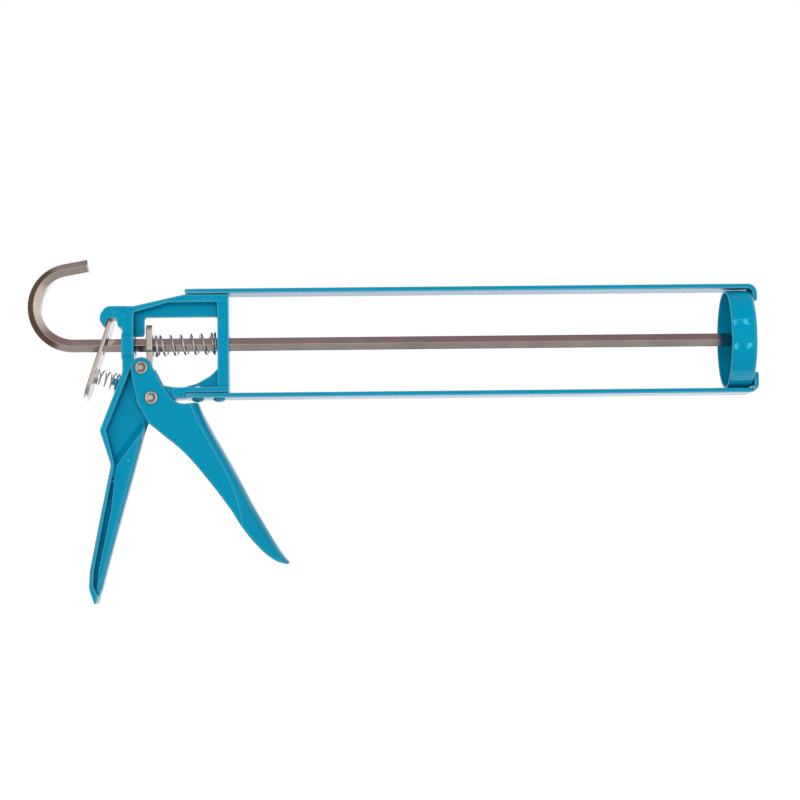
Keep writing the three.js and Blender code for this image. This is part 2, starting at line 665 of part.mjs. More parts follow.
/** The thin disc that pushes the cartridge's piston, its rim dished forward. */
function plungerPlate() {
  const profile = [
    [NECK_HOLE, PLUNGER_REAR], [19.5, PLUNGER_REAR], [PLUNGER_RADIUS, PLUNGER_REAR + 2.2],
    [PLUNGER_RADIUS - 0.8, PLUNGER_REAR + 2.6], [19, PLUNGER_REAR + PLUNGER_SHEET],
    [NECK_HOLE, PLUNGER_REAR + PLUNGER_SHEET], [NECK_HOLE, PLUNGER_REAR],
  ];
  return mesh('plunger_plate', turned(profile, ALONG, DATUM, 44), zincPlate);
}

/** The nut that keeps the plunger discs on the rod's neck. */
function plungerNut() {
  const corners = NUT_FLATS / Math.cos(30 * DEG);
  const points = [NUT_REAR, NUT_REAR + NUT_THICK].map((x) => new THREE.Vector3(x, 0, 0));
  const body = sweptHexagon(points, corners, 0);
  const bore = bar(NECK_HOLE, NUT_REAR - 1, NUT_REAR + NUT_THICK + 1, ALONG);
  return mesh('plunger_nut', body.subtract(bore), zincPlate);
}

// ---------------------------------------------------------------- the gun

const gun = new THREE.Group();
gun.position.set(-PIVOT.x, 0, -PIVOT.y);
gun.add(
  castBody(),
  strap('top_strap', 1, TOP_LIP),
  strap('bottom_strap', -1, BOTTOM_LIP),
  flushRivet('top_strap_rivet_rear', RIVET_X[0]),
  flushRivet('top_strap_rivet_front', RIVET_X[1]),
  roundRivet('bottom_strap_rivet_rear', RIVET_X[0]),
  roundRivet('bottom_strap_rivet_front', RIVET_X[1]),
  frontCup(),
  triggerLever(),
  hollowPin('trigger_pivot_pin', PIVOT),
  hollowPin('drive_pin', DRIVE_PIN),
  drivePlate(),
  driveSpring(),
  brakePlate(),
  brakeSpring(),
  pushRod(),
  ring('plunger_backing', BACKING_RADIUS, BACKING_REAR, BACKING_THICK),
  plungerPlate(),
  ring('plunger_lock_washer', WASHER_RADIUS, WASHER_REAR, WASHER_THICK),
  plungerNut(),
);

const caulkingGun = new THREE.Group();
caulkingGun.add(gun);

export default caulkingGun;
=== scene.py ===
"""The looks of a skeleton caulking gun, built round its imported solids.

Each sub-assembly is a class: it holds its sizes, works out its surfaces as numpy arrays and dresses
them. Sizes are in millimetres from a datum where the push rod's axis leaves the front face of the
cast body, +X along the rod to the cup and +Z up; Datum turns them into metres in the row frame.
"""

import json
import logging
import math
from dataclasses import dataclass
from enum import Enum

import bmesh
import bpy
import numpy as np
from mathutils import Matrix, Vector


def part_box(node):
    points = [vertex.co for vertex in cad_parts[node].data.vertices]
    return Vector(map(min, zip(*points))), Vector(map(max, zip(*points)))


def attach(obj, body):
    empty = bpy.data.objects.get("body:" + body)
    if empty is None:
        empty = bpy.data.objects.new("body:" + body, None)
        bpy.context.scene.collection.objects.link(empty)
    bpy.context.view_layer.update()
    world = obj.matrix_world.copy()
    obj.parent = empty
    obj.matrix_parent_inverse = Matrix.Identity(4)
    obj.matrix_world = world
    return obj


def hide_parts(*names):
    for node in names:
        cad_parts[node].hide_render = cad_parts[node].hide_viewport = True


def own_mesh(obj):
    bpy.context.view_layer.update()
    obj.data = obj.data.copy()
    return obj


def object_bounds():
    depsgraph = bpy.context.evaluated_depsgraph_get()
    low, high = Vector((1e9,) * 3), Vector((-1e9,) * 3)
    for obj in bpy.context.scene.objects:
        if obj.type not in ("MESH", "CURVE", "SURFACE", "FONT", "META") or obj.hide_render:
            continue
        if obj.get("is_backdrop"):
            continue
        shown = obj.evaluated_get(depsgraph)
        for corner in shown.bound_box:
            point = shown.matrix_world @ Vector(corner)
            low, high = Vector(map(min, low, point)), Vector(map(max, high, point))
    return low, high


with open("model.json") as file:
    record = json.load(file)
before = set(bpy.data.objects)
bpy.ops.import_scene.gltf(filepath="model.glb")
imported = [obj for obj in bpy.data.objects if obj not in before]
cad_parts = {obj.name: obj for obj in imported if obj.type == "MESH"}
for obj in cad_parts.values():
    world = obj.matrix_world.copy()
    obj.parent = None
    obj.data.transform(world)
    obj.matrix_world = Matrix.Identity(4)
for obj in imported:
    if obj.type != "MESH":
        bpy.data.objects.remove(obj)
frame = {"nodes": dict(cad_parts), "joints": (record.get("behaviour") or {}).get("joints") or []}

LOG = logging.getLogger("caulking_gun")
MM = 0.001
TAU = 2 * math.pi
ACROSS = np.array([0.0, 1.0, 0.0])
ALONG = np.array([1.0, 0.0, 0.0])
UP = np.array([0.0, 0.0, 1.0])
TINY = 1e-12
SLACK = 1e-9
TRIGGER_PIVOT = (-41.0, -28.75)
DRIVE_PIN = (-46.15, -12.75)

Pair = tuple[float, float]
Triple = tuple[float, float, float]
Line = tuple[Pair, ...]


class Body(Enum):
    """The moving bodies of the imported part."""

    FRAME = "frame"
    TRIGGER = "trigger"
    DRIVE_PLATE = "drive_plate"
    BRAKE_PLATE = "brake_plate"
    PLUNGER = "plunger"
    ROD = "rod"


class Slot(Enum):
    """The record's material slots."""

    ENAMEL = "enamel"
    PLATED_BAR = "plated_bar"
    NICKEL = "nickel"
    SPRING_WIRE = "spring_wire"
    ZINC_PLATE = "zinc_plate"


# ------------------------------------------------------------------------------- places


@dataclass(frozen=True)
class Datum:
    """Where the drawing's zero lies in the row frame, in metres."""

    x: float
    z: float

    @classmethod
    def from_frame(cls) -> "Datum":
        """The casting's front face and the axis that the rod turns on.

        Returns:
            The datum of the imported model.
        """
        turn = next(j for j in frame["joints"] if j["name"] == "rod_turn")
        return cls(x=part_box("cast_body")[1].x, z=turn["pos_m"][2])

    def place(self, points: np.ndarray) -> np.ndarray:
        """Drawing millimetres to metres in the row frame.

        Args:
            points: An array of places whose last axis is X, Y, Z.

        Returns:
            The same places in the row frame.
        """
        return np.asarray(points, float) * MM + np.array([self.x, 0.0, self.z])


DATUM = Datum.from_frame()


# ------------------------------------------------------------------------------- surfaces


def grid_faces(rows: int, cols: int, wrap_rows: bool, wrap_cols: bool) -> np.ndarray:
    """The quads of a grid of points numbered row by row.

    Args:
        rows: How many rows of points.
        cols: How many points in a row.
        wrap_rows: Whether the last row joins the first.
        wrap_cols: Whether each row closes on itself.

    Returns:
        One row of four point numbers for each quad.
    """
    r = np.arange(rows if wrap_rows else rows - 1)
    c = np.arange(cols if wrap_cols else cols - 1)
    rr, cc = np.meshgrid(r, c, indexing="ij")
    rn, cn = (rr + 1) % rows, (cc + 1) % cols
    quads = np.stack([rr * cols + cc, rn * cols + cc, rn * cols + cn, rr * cols + cn], -1)
    return quads.reshape(-1, 4)


@dataclass
class Surface:
    """A closed surface in drawing millimetres: its points, and its faces by point number."""

    points: np.ndarray
    faces: list[list[int]]

    @classmethod
    def from_grid(cls, grid: np.ndarray, wrap_rows: bool, caps: bool = False) -> "Surface":
        """Closed rows of points joined one to the next.

        Args:
            grid: Points as rows x columns x 3; every row is a closed loop.
            wrap_rows: Whether the last row joins the first, as on a ring.
            caps: Whether a fan of triangles closes the first and last rows.

        Returns:
            The surface, with its faces turned outwards.
        """
        rows, cols = grid.shape[:2]
        points = grid.reshape(-1, 3)
        faces = grid_faces(rows, cols, wrap_rows, True).tolist()
        if caps:
            ends = np.stack([grid[0].mean(0), grid[-1].mean(0)])
            around = np.arange(cols)
            after = (around + 1) % cols
            first, last = rows * cols, rows * cols + 1
            base = (rows - 1) * cols
            faces += np.stack([np.full(cols, first), after, around], -1).tolist()
            faces += np.stack([np.full(cols, last), base + around, base + after], -1).tolist()
            points = np.concatenate([points, ends])
        return cls(points, faces).outward()

    def outward(self) -> "Surface":
        """Turns the faces outwards, judged by the sign of the volume they enclose.

        Returns:
            The same surface.
        """
        fans = [(f[0], f[k], f[k + 1]) for f in self.faces for k in range(1, len(f) - 1)]
        a, b, c = (self.points[np.array(fans)[:, k]] for k in range(3))
        if np.einsum("ij,ij->i", a, np.cross(b, c)).sum() < 0:
            self.faces = [face[::-1] for face in self.faces]
        return self

    def joined(self, *others: "Surface") -> "Surface":
        """This surface and others as one mesh.

        Args:
            others: The surfaces to add.

        Returns:
            A surface that holds them all.
        """
        points, faces = [self.points], list(self.faces)
        count = len(self.points)
        for other in others:
            faces += [[i + count for i in face] for face in other.faces]
            points.append(other.points)
            count += len(other.points)
        return Surface(np.concatenate(points), faces)

    def piece(self, name: str, sharp_degrees: float = 35.0) -> bpy.types.Object:
        """The surface as an object at the origin of the row frame.

        Args:
            name: The piece's name.
            sharp_degrees: Edges that turn more than this stay crisp.

        Returns:
            The object, smooth shaded.
        """
        mesh = bpy.data.meshes.new(name)
        mesh.from_pydata(DATUM.place(self.points).tolist(), [], self.faces)
        mesh.polygons.foreach_set("use_smooth", np.ones(len(mesh.polygons), bool))
        mesh.set_sharp_from_angle(angle=math.radians(sharp_degrees))
        mesh.update()
        obj = bpy.data.objects.new(name, mesh)
        bpy.context.scene.collection.objects.link(obj)
        return obj


def arc(radius: float, start: float, end: float, steps: int) -> np.ndarray:
    """Points on a circle round zero: (r cos a, r sin a) for a from start to end degrees.

    Args:
        radius: The circle's radius.
        start: First angle in degrees.
        end: Last angle in degrees.
        steps: How many stretches between them.

    Returns:
        steps + 1 rows of two numbers.
    """
    a = np.radians(np.linspace(start, end, steps + 1))
    return np.stack([radius * np.cos(a), radius * np.sin(a)], -1)


def smooth_through(points: np.ndarray, steps: int) -> np.ndarray:
    """A uniform Catmull-Rom curve: between p1 and p2 it is the cubic with slopes (p2-p0)/2, (p3-p1)/2.

    Args:
        points: Rows of numbers that the curve passes through.
        steps: How many stretches between each pair of rows.

    Returns:
        Rows along the curve, both ends included.
    """
    p = np.asarray(points, float)
    padded = np.concatenate([p[:1], p, p[-1:]])
    t = np.linspace(0, 1, steps, endpoint=False)[None, :, None]
    p0, p1, p2, p3 = (padded[k:k + len(p) - 1, None, :] for k in range(4))
    v0, v1 = (p2 - p0) / 2, (p3 - p1) / 2
    cubic = (2 * p1 - 2 * p2 + v0 + v1) * t**3 + (3 * p2 - 3 * p1 - 2 * v0 - v1) * t**2 + v0 * t + p1
    return np.concatenate([cubic.reshape(-1, p.shape[1]), p[-1:]])


def round_corners(corners: list[Triple], steps: int = 6, rest: float = 0.0) -> np.ndarray:
    """A closed outline whose corners are arcs tangent to both neighbouring sides.

    Args:
        corners: Each corner as across, up and the radius of its arc.
        steps: Stretches in each arc.
        rest: How far beside an arc one more point holds the side flat; 0 for none.

    Returns:
        Rows of two numbers round the outline.
    """
    c = np.array(corners, float)
    here, radius = c[:, :2], c[:, 2:]
    before = np.roll(here, 1, 0) - here
    after = np.roll(here, -1, 0) - here
    before /= np.linalg.norm(before, axis=1, keepdims=True)
    after /= np.linalg.norm(after, axis=1, keepdims=True)
    half = np.arccos(np.clip((before * after).sum(1, keepdims=True), -1, 1)) / 2
    middle = before + after
    centre = here + middle / np.linalg.norm(middle, axis=1, keepdims=True) * radius / np.sin(half)
    reach = radius / np.tan(half)
    start, end = here + before * reach - centre, here + after * reach - centre
    a0 = np.arctan2(start[:, 1], start[:, 0])
    turn = (np.arctan2(end[:, 1], end[:, 0]) - a0 + math.pi) % TAU - math.pi
    a = a0[:, None] + turn[:, None] * np.linspace(0, 1, steps + 1)
    ring = np.stack([np.cos(a), np.sin(a)], -1) * radius[:, None] + centre[:, None]
    if rest:
        first, last = ring[:, 0] + before * rest, ring[:, -1] + after * rest
        ring = np.concatenate([first[:, None], ring, last[:, None]], 1)
    return ring.reshape(-1, 2)


def turned(profile: np.ndarray, axis: np.ndarray, at: np.ndarray, segments: int) -> Surface:
    """A closed profile turned about an axis: at + h*axis + r*(cos a*u + sin a*v).

    Args:
        profile: Rows of radius and height; the last row joins the first.
        axis: The direction of height.
        at: Where height and radius are zero.
        segments: Steps round the axis.

    Returns:
        The ring-shaped surface.
    """
    u = np.cross(axis, UP if abs(axis[2]) < 0.9 else ALONG)
    u /= np.linalg.norm(u)
    v = np.cross(axis, u)
    a = np.arange(segments) / segments * TAU
    spoke = np.cos(a)[:, None] * u + np.sin(a)[:, None] * v
    grid = (np.asarray(at, float) + profile[None, :, 1:] * axis
            + profile[None, :, :1] * spoke[:, None])
    return Surface.from_grid(grid, wrap_rows=True)


def carried(section: np.ndarray, path: np.ndarray, normal: np.ndarray, other: np.ndarray) -> Surface:
    """A closed section carried along a path: path + x*normal + y*other, with capped ends.

    Args:
        section: Rows of two numbers, or one such array for each point of the path.
        path: The middle line.
        normal: The direction of the section's first number at each point.
        other: The direction of its second number.

    Returns:
        The surface from end to end.
    """
    flat = section if section.ndim == 3 else section[None]
    grid = path[:, None] + flat[..., :1] * normal[:, None] + flat[..., 1:] * other[:, None]
    return Surface.from_grid(grid, wrap_rows=False, caps=True)


def reach_of(outline: np.ndarray, angles: np.ndarray) -> np.ndarray:
    """How far an outline lies from zero in each direction, by crossing rays with its sides.

    Args:
        outline: A closed outline that every ray from zero crosses once.
        angles: The rays' directions.

    Returns:
        One distance for each ray.
    """
    a, b = outline, np.roll(outline, -1, 0)
    side = b - a
    ray = np.stack([np.cos(angles), np.sin(angles)], -1)
    cross = ray[:, None, 0] * side[None, :, 1] - ray[:, None, 1] * side[None, :, 0]
    cross = np.where(np.abs(cross) < TINY, TINY, cross)
    along = (a[:, 0] * side[:, 1] - a[:, 1] * side[:, 0])[None] / cross
    share = (a[None, :, 0] * ray[:, None, 1] - a[None, :, 1] * ray[:, None, 0]) / cross
    hit = (share >= -SLACK) & (share <= 1 + SLACK) & (along > 0)
    return np.where(hit, along, -1.0).max(1)


def hexagon_corners(flats: float, radius: float) -> list[Triple]:
    """The corners of a hexagon: flats / (2 cos 30) from its middle, 60 degrees apart.

    Args:
        flats: The distance between opposite sides.
        radius: The radius of each corner's arc.

    Returns:
        Each corner as across, up and radius.
    """
    reach = flats / 2 / math.cos(math.radians(30))
    return [(reach * math.cos(a), reach * math.sin(a), radius) for a in np.radians(30 + 60 * np.arange(6))]


@dataclass(frozen=True)
class Plate:
    """A flat plate with a round hole: for each ray from the hole's centre its section is a loop.

    Points beside the rounded edges, at rest and side_rest, hold the faces and sides flat.
    """

    outline: np.ndarray
    thick: float
    hole: float
    edge: float
    segments: int = 360
    rest: float = 0.3
    side_rest: float = 0.4
    bore_edge: float = 0.6
    least_turn: float = 1e-5

    def surface(self, centre: np.ndarray, u: np.ndarray, v: np.ndarray) -> Surface:
        """The loop over every ray: rounded outer edge, face, hole wall and face.

        Args:
            centre: The hole's centre in the plate's middle plane.
            u: The direction of the outline's first number.
            v: The direction of its second number.

        Returns:
            The closed plate.
        """
        angles = np.sort(np.concatenate([
            np.arctan2(self.outline[:, 1], self.outline[:, 0]) % TAU,
            np.arange(self.segments) / self.segments * TAU,
        ]))
        angles = angles[np.append(np.diff(angles) > self.least_turn, True)]
        far = reach_of(self.outline, angles)[:, None]
        half, e = self.thick / 2, self.edge
        side = half - (1 + self.side_rest) * e
        outer = np.concatenate([
            [[-e - self.rest, -half]], arc(e, -90, 0, 4) + [-e, e - half], [[0, -side], [0, side]],
            arc(e, 0, 90, 4) + [-e, half - e], [[-e - self.rest, half]]])
        b = e * self.bore_edge
        bore = np.concatenate([
            [[b + self.rest, half]], arc(b, 90, 180, 3) + [b, half - b],
            arc(b, 180, 270, 3) + [b, b - half], [[b + self.rest, -half]]])
        inner = np.broadcast_to(self.hole + bore[None, :, 0], (len(angles), len(bore)))
        rho = np.concatenate([far + outer[None, :, 0], inner], 1)
        tall = np.concatenate([outer[:, 1], bore[:, 1]])
        spoke = np.cos(angles)[:, None] * u + np.sin(angles)[:, None] * v
        grid = np.asarray(centre, float) + rho[..., None] * spoke[:, None] + (
            tall[None, :, None] * np.cross(u, v))
        return Surface.from_grid(grid, wrap_rows=True)


def prism(outline: np.ndarray, low: float, high: float, edge: float) -> Surface:
    """A side-view outline (X, Z) given thickness across the gun, its two rims rounded.

    The rim is the outline moved inwards along its own normals by e(1 - cos a) at height e sin a.

    Args:
        outline: The closed outline.
        low: Y of one face.
        high: Y of the other face.
        edge: The rim's radius.

    Returns:
        The closed plate, each face one many-sided polygon.
    """
    run = np.roll(outline, -1, 0) - np.roll(outline, 1, 0)
    run /= np.linalg.norm(run, axis=1, keepdims=True)
    inward = np.stack([-run[:, 1], run[:, 0]], -1)
    after = np.roll(outline, -1, 0)
    area = (outline[:, 0] * after[:, 1] - outline[:, 1] * after[:, 0]).sum()
    inward *= 1 if area > 0 else -1
    a = np.radians(np.linspace(-90, 90, 9))
    drawn_in = edge * (1 - np.cos(a))
    y = np.where(a > 0, high - edge + edge * np.sin(a), low + edge + edge * np.sin(a))
    y[len(a) // 2] = (low + high) / 2
    ring = outline[None] + inward[None] * drawn_in[:, None, None]
    grid = np.stack([ring[..., 0], np.broadcast_to(y[:, None], ring.shape[:2]), ring[..., 1]], -1)
    rows, cols = grid.shape[:2]
    faces = grid_faces(rows, cols, False, True).tolist()
    faces += [list(range(cols))[::-1], list(range((rows - 1) * cols, rows * cols))]
    return Surface(grid.reshape(-1, 3), faces).outward()


# ------------------------------------------------------------------------------- finishes


class Wiring:
    """A node tree while its nodes are placed and joined."""

    def __init__(self, tree: bpy.types.NodeTree) -> None:
        """Starts on a tree.

        Args:
            tree: The tree that the nodes go into.
        """
        self.tree = tree

    def node(self, kind: str, settings: dict | None = None, **inputs: object) -> bpy.types.Node:
        """A node with its settings and inputs.

        Args:
            kind: The node's type, without "ShaderNode".
            settings: Its properties.
            inputs: Values, or sockets to join, by input name, where underscores stand for spaces,
                or by number as i0, i1 and so on.

        Returns:
            The node.
        """
        made = self.tree.nodes.new("ShaderNode" + kind)
        for key, value in (settings or {}).items():
            setattr(made, key, value)
        for key, value in inputs.items():
            index = int(key[1:]) if key[0] == "i" and key[1:].isdigit() else key.replace("_", " ")
            self.put(made.inputs[index], value)
        return made

    def put(self, socket: bpy.types.NodeSocket, value: object) -> None:
        """Sets a socket's value, or joins another socket to it.

        Args:
            socket: The input.
            value: A number, a colour or an output socket.
        """
        if isinstance(value, bpy.types.NodeSocket):
            self.tree.links.new(value, socket)
        else:
            socket.default_value = value

    def maths(self, how: str, a: object, b: object = 0.0, c: object = 0.0) -> bpy.types.NodeSocket:
        """The result of a sum on two or three numbers.

        Args:
            how: The operation.
            a: First number or socket.
            b: Second number or socket.
            c: Third number or socket.

        Returns:
            The output socket.
        """
        return self.node("Math", {"operation": how}, i0=a, i1=b, i2=c).outputs[0]

    def blend(self, share: object, a: object, b: object, how: str = "MIX") -> bpy.types.NodeSocket:
        """Two colours mixed.

        Args:
            share: How much of the second.
            a: First colour or socket.
            b: Second colour or socket.
            how: The way they mix.

        Returns:
            The colour socket.
        """
        settings = {"data_type": "RGBA", "blend_type": how}
        return self.node("Mix", settings, i0=share, i6=a, i7=b).outputs[2]

    def spread(self, value: object, low: object, high: object, to_low: float, to_high: float
               ) -> bpy.types.NodeSocket:
        """A number carried from one range to another.

        Args:
            value: The number's socket.
            low: Start of its range.
            high: End of its range.
            to_low: What low becomes.
            to_high: What high becomes.

        Returns:
            The output socket.
        """
        return self.node("MapRange", None, i0=value, i1=low, i2=high, i3=to_low, i4=to_high).outputs[0]


class Effect:
    """A shader node group that several finishes share, made once with named inputs and outputs."""

    made: dict[str, bpy.types.NodeTree] = {}

    def __init__(self, name: str, inputs: dict[str, tuple[str, object]], outputs: dict[str, str]) -> None:
        """Opens a new group.

        Args:
            name: The group's name.
            inputs: Each input's kind and default, by name.
            outputs: Each output's kind, by name.
        """
        tree = bpy.data.node_groups.new(name, "ShaderNodeTree")
        for key, (kind, default) in inputs.items():
            socket = tree.interface.new_socket(key, in_out="INPUT", socket_type="NodeSocket" + kind)
            socket.default_value = default
        for key, kind in outputs.items():
            tree.interface.new_socket(key, in_out="OUTPUT", socket_type="NodeSocket" + kind)
        self.wires = Wiring(tree)
        self.entry = tree.nodes.new("NodeGroupInput").outputs
        self.exit = tree.nodes.new("NodeGroupOutput").inputs
        Effect.made[name] = tree


def build_drift() -> None:
    """Colour that wanders slowly over a surface: noise mixes the colour towards its shade."""
    e = Effect(
        "colour_drift",
        {"Colour": ("Color", (0.5, 0.5, 0.5, 1)), "Shade": ("Color", (0.4, 0.4, 0.4, 1)),
         "Patch": ("Float", 60.0), "Amount": ("Float", 0.3)},
        {"Colour": "Color"},
    )
    w = e.wires
    place = w.node("TexCoord").outputs["Object"]
    cloud = w.node("TexNoise", None, Vector=place, Scale=e.entry["Patch"], Detail=4.0).outputs[0]
    share = w.maths("MULTIPLY", w.spread(cloud, 0.35, 0.7, 0, 1), e.entry["Amount"])
    w.put(e.exit["Colour"], w.blend(share, e.entry["Colour"], e.entry["Shade"]))


def build_grain() -> None:
    """Fine marks stretched along chosen directions, as a mask and as a height in metres."""
    e = Effect(
        "drawn_grain",
        {"Stretch": ("Vector", (1.0, 1.0, 1.0)), "Scale": ("Float", 900.0), "Depth": ("Float", 0.00001)},
        {"Mask": "Float", "Height": "Float"},
    )
    w = e.wires
    place = w.node("TexCoord").outputs["Object"]
    drawn = w.node("VectorMath", {"operation": "MULTIPLY"}, i0=place, i1=e.entry["Stretch"]).outputs[0]
    fine = w.node("TexNoise", None, Vector=drawn, Scale=e.entry["Scale"], Detail=6.0, Roughness=0.65)
    mask = w.spread(fine.outputs[0], 0.3, 0.7, 0, 1)
    w.put(e.exit["Mask"], mask)
    w.put(e.exit["Height"], w.maths("MULTIPLY", mask, e.entry["Depth"]))


def build_handling() -> None:
    """Roughness that changes in soft smudges with a few finer specks in them."""
    e = Effect(
        "handling",
        {"Smooth": ("Float", 0.15), "Dull": ("Float", 0.35), "Patch": ("Float", 45.0)},
        {"Roughness": "Float"},
    )
    w = e.wires
    place = w.node("TexCoord").outputs["Object"]
    cloud = w.node("TexNoise", None, Vector=place, Scale=e.entry["Patch"], Detail=3.0).outputs[0]
    specks = w.node("TexNoise", None, Vector=place, Scale=2200.0, Detail=2.0).outputs[0]
    smudge = w.spread(cloud, 0.4, 0.75, 0, 1)
    fleck_share = 0.35
    flecked = w.maths("MULTIPLY_ADD", w.spread(specks, 0.5, 0.8, 0, 1), fleck_share, smudge)
    share = w.maths("MINIMUM", flecked, 1.0)
    span = w.maths("SUBTRACT", e.entry["Dull"], e.entry["Smooth"])
    w.put(e.exit["Roughness"], w.maths("MULTIPLY_ADD", share, span, e.entry["Smooth"]))


def build_edge_wear_and_highlight() -> None:
    """A mask of outer edges broken up by noise: how far a rounded normal leans from the true one. On metal
    it marks worn edges; on enamel it places a painted edge highlight.
    """
    e = Effect(
        "edge_wear_and_highlight",
        {"Reach": ("Float", 0.0006), "Amount": ("Float", 0.5), "Breakup": ("Float", 700.0)},
        {"Mask": "Float"},
    )
    w = e.wires
    place = w.node("TexCoord").outputs["Object"]
    rounded = w.node("Bevel", {"samples": 4}, Radius=e.entry["Reach"]).outputs[0]
    true = w.node("NewGeometry").outputs["True Normal"]
    lean = w.node("VectorMath", {"operation": "DOT_PRODUCT"}, i0=rounded, i1=true).outputs["Value"]
    barely, fully = 0.98, 0.8
    edge = w.spread(lean, barely, fully, 0, 1)
    noise = w.node("TexNoise", None, Vector=place, Scale=e.entry["Breakup"], Detail=3.0).outputs[0]
    broken = w.maths("MULTIPLY", edge, w.spread(noise, 0.4, 0.65, 0.1, 1))
    w.put(e.exit["Mask"], w.maths("MULTIPLY", broken, e.entry["Amount"]))


def build_relief() -> None:
    """Masks of ridges and of hollows, from how far each point stands out from its neighbours; the enamel
    paints a highlight on the ridges and shade in the hollows.
    """
    e = Effect(
        "relief",
        {"Ridge from": ("Float", 0.505), "Ridge to": ("Float", 0.56), "Hollow to": ("Float", 0.44)},
        {"Ridge": "Float", "Hollow": "Float"},
    )
    w = e.wires
    hollow_from = 0.495
    stand = w.node("NewGeometry").outputs["Pointiness"]
    w.put(e.exit["Ridge"], w.spread(stand, e.entry["Ridge from"], e.entry["Ridge to"], 0, 1))
    w.put(e.exit["Hollow"], w.spread(stand, hollow_from, e.entry["Hollow to"], 0, 1))


def build_peel() -> None:
    """The skin of sprayed gloss: broad waves with a fine orange-peel ripple on them, in metres."""
    e = Effect(
        "orange_peel",
        {"Ripple": ("Float", 0.000004), "Wave": ("Float", 0.00002)},
        {"Height": "Float"},
    )
    w = e.wires
    place = w.node("TexCoord").outputs["Object"]
    fine = w.node("TexNoise", None, Vector=place, Scale=1100.0, Detail=1.0).outputs[0]
    broad = w.node("TexNoise", None, Vector=place, Scale=120.0, Detail=1.0).outputs[0]
    waves = w.maths("MULTIPLY", broad, e.entry["Wave"])
    w.put(e.exit["Height"], w.maths("MULTIPLY_ADD", fine, e.entry["Ripple"], waves))


@dataclass(frozen=True)
class Coat:
    """A finish once built: its material, and the record's slot for it."""

    material: bpy.types.Material
    slot: Slot


@dataclass(frozen=True)
class Finish:
    """What every finish has: a name, its slot, its colour and how its gloss varies."""

    name: str
    slot: Slot
    colour: Triple
    shade: Triple
    patch: float
    drift: float
    smooth: float
    dull: float

    def start(self) -> tuple[bpy.types.Material, Wiring, bpy.types.Node]:
        """A new material with its shader and the effects that all finishes share.

        Returns:
            The material, its wiring and its shader node.
        """
        material = bpy.data.materials.new(self.name)
        material.use_nodes = True
        w = Wiring(material.node_tree)
        shader = material.node_tree.nodes["Principled BSDF"]
        gloss = self.effect(w, "handling", Smooth=self.smooth, Dull=self.dull, Patch=self.patch)
        w.put(shader.inputs["Roughness"], gloss.outputs["Roughness"])
        return material, w, shader

    def effect(self, w: Wiring, name: str, **inputs: object) -> bpy.types.Node:
        """A shared effect placed in the material with its own values.

        Args:
            w: The material's wiring.
            name: The effect's name.
            inputs: Its values by input name.

        Returns:
            The group node.
        """
        node = w.tree.nodes.new("ShaderNodeGroup")
        node.node_tree = Effect.made[name]
        for key, value in inputs.items():
            w.put(node.inputs[key], value)
        return node

    def drifting(self, w: Wiring) -> bpy.types.NodeSocket:
        """The finish's colour, wandering towards its shade."""
        node = self.effect(w, "colour_drift", Colour=(*self.colour, 1), Shade=(*self.shade, 1),
                           Patch=self.patch, Amount=self.drift)
        return node.outputs["Colour"]


@dataclass(frozen=True)
class Enamel(Finish):
    """Sprayed gloss enamel over steel or over a casting: its outer edges and ridges are paler, from thin
    paint and a painted highlight, and its hollows darker, from pooled paint and painted shade.
    """

    thin_and_highlight: Triple
    pooled_shade: Triple
    ridge: float
    hollow: float
    rub_and_highlight: float
    ripple: float
    wave: float
    gloss: float = 0.24
    gloss_tint: Triple = (0.22, 0.9, 1.0)

    def build(self) -> Coat:
        """The coat.

        Returns:
            Enamel that is paler on outer edges and ridges, from thin paint and a painted highlight, darker
            in hollows, from pooled paint and painted shade, and rippled.
        """
        material, w, shader = self.start()
        relief = self.effect(w, "relief").outputs
        worn_and_highlit = self.effect(w, "edge_wear_and_highlight", Amount=self.rub_and_highlight).outputs["Mask"]
        # Painted highlight: outer edges lighten towards the pale colour, as thin paint with a painted
        # highlight on it.
        colour = w.blend(worn_and_highlit, self.drifting(w), (*self.thin_and_highlight, 1))
        # Painted highlight: ridges lighten towards the same pale colour.
        colour = w.blend(w.maths("MULTIPLY", relief["Ridge"], self.ridge), colour, (*self.thin_and_highlight, 1))
        # Painted shade: hollows darken towards the dark colour, as pooled paint with painted shade in it.
        colour = w.blend(w.maths("MULTIPLY", relief["Hollow"], self.hollow), colour, (*self.pooled_shade, 1))
        w.put(shader.inputs["Base Color"], colour)
        height = self.effect(w, "orange_peel", Ripple=self.ripple, Wave=self.wave).outputs["Height"]
        bump = w.node("Bump", None, Height=height, Distance=1.0, Strength=1.0)
        w.put(shader.inputs["Normal"], bump.outputs[0])
        shader.inputs["Specular IOR Level"].default_value = self.gloss
        shader.inputs["Specular Tint"].default_value = (*self.gloss_tint, 1)
        return Coat(material, self.slot)


@dataclass(frozen=True)
class BrightMetal(Finish):
    """Bare or plated steel: marks drawn along it, brighter where handling rubs its edges."""

    worn_and_highlit: Triple
    rub_and_highlight: float
    stretch: Triple
    grain: float
    depth: float
    mark_share: float = 0.35

    def build(self) -> Coat:
        """The coat.

        Returns:
            Metal with drawn marks in its colour and its surface.
        """
        material, w, shader = self.start()
        marks = self.effect(w, "drawn_grain", Stretch=self.stretch, Scale=self.grain, Depth=self.depth)
        share = w.maths("MULTIPLY", marks.outputs["Mask"], self.mark_share)
        dark = w.blend(share, self.drifting(w), (*self.shade, 1))
        rub_and_highlight = self.effect(w, "edge_wear_and_highlight", Amount=self.rub_and_highlight).outputs["Mask"]
        w.put(shader.inputs["Base Color"], w.blend(rub_and_highlight, dark, (*self.worn_and_highlit, 1)))
        bump = w.node("Bump", None, Height=marks.outputs["Height"], Distance=1.0, Strength=1.0)
        w.put(shader.inputs["Normal"], bump.outputs[0])
        shader.inputs["Metallic"].default_value = 1.0
        return Coat(material, self.slot)


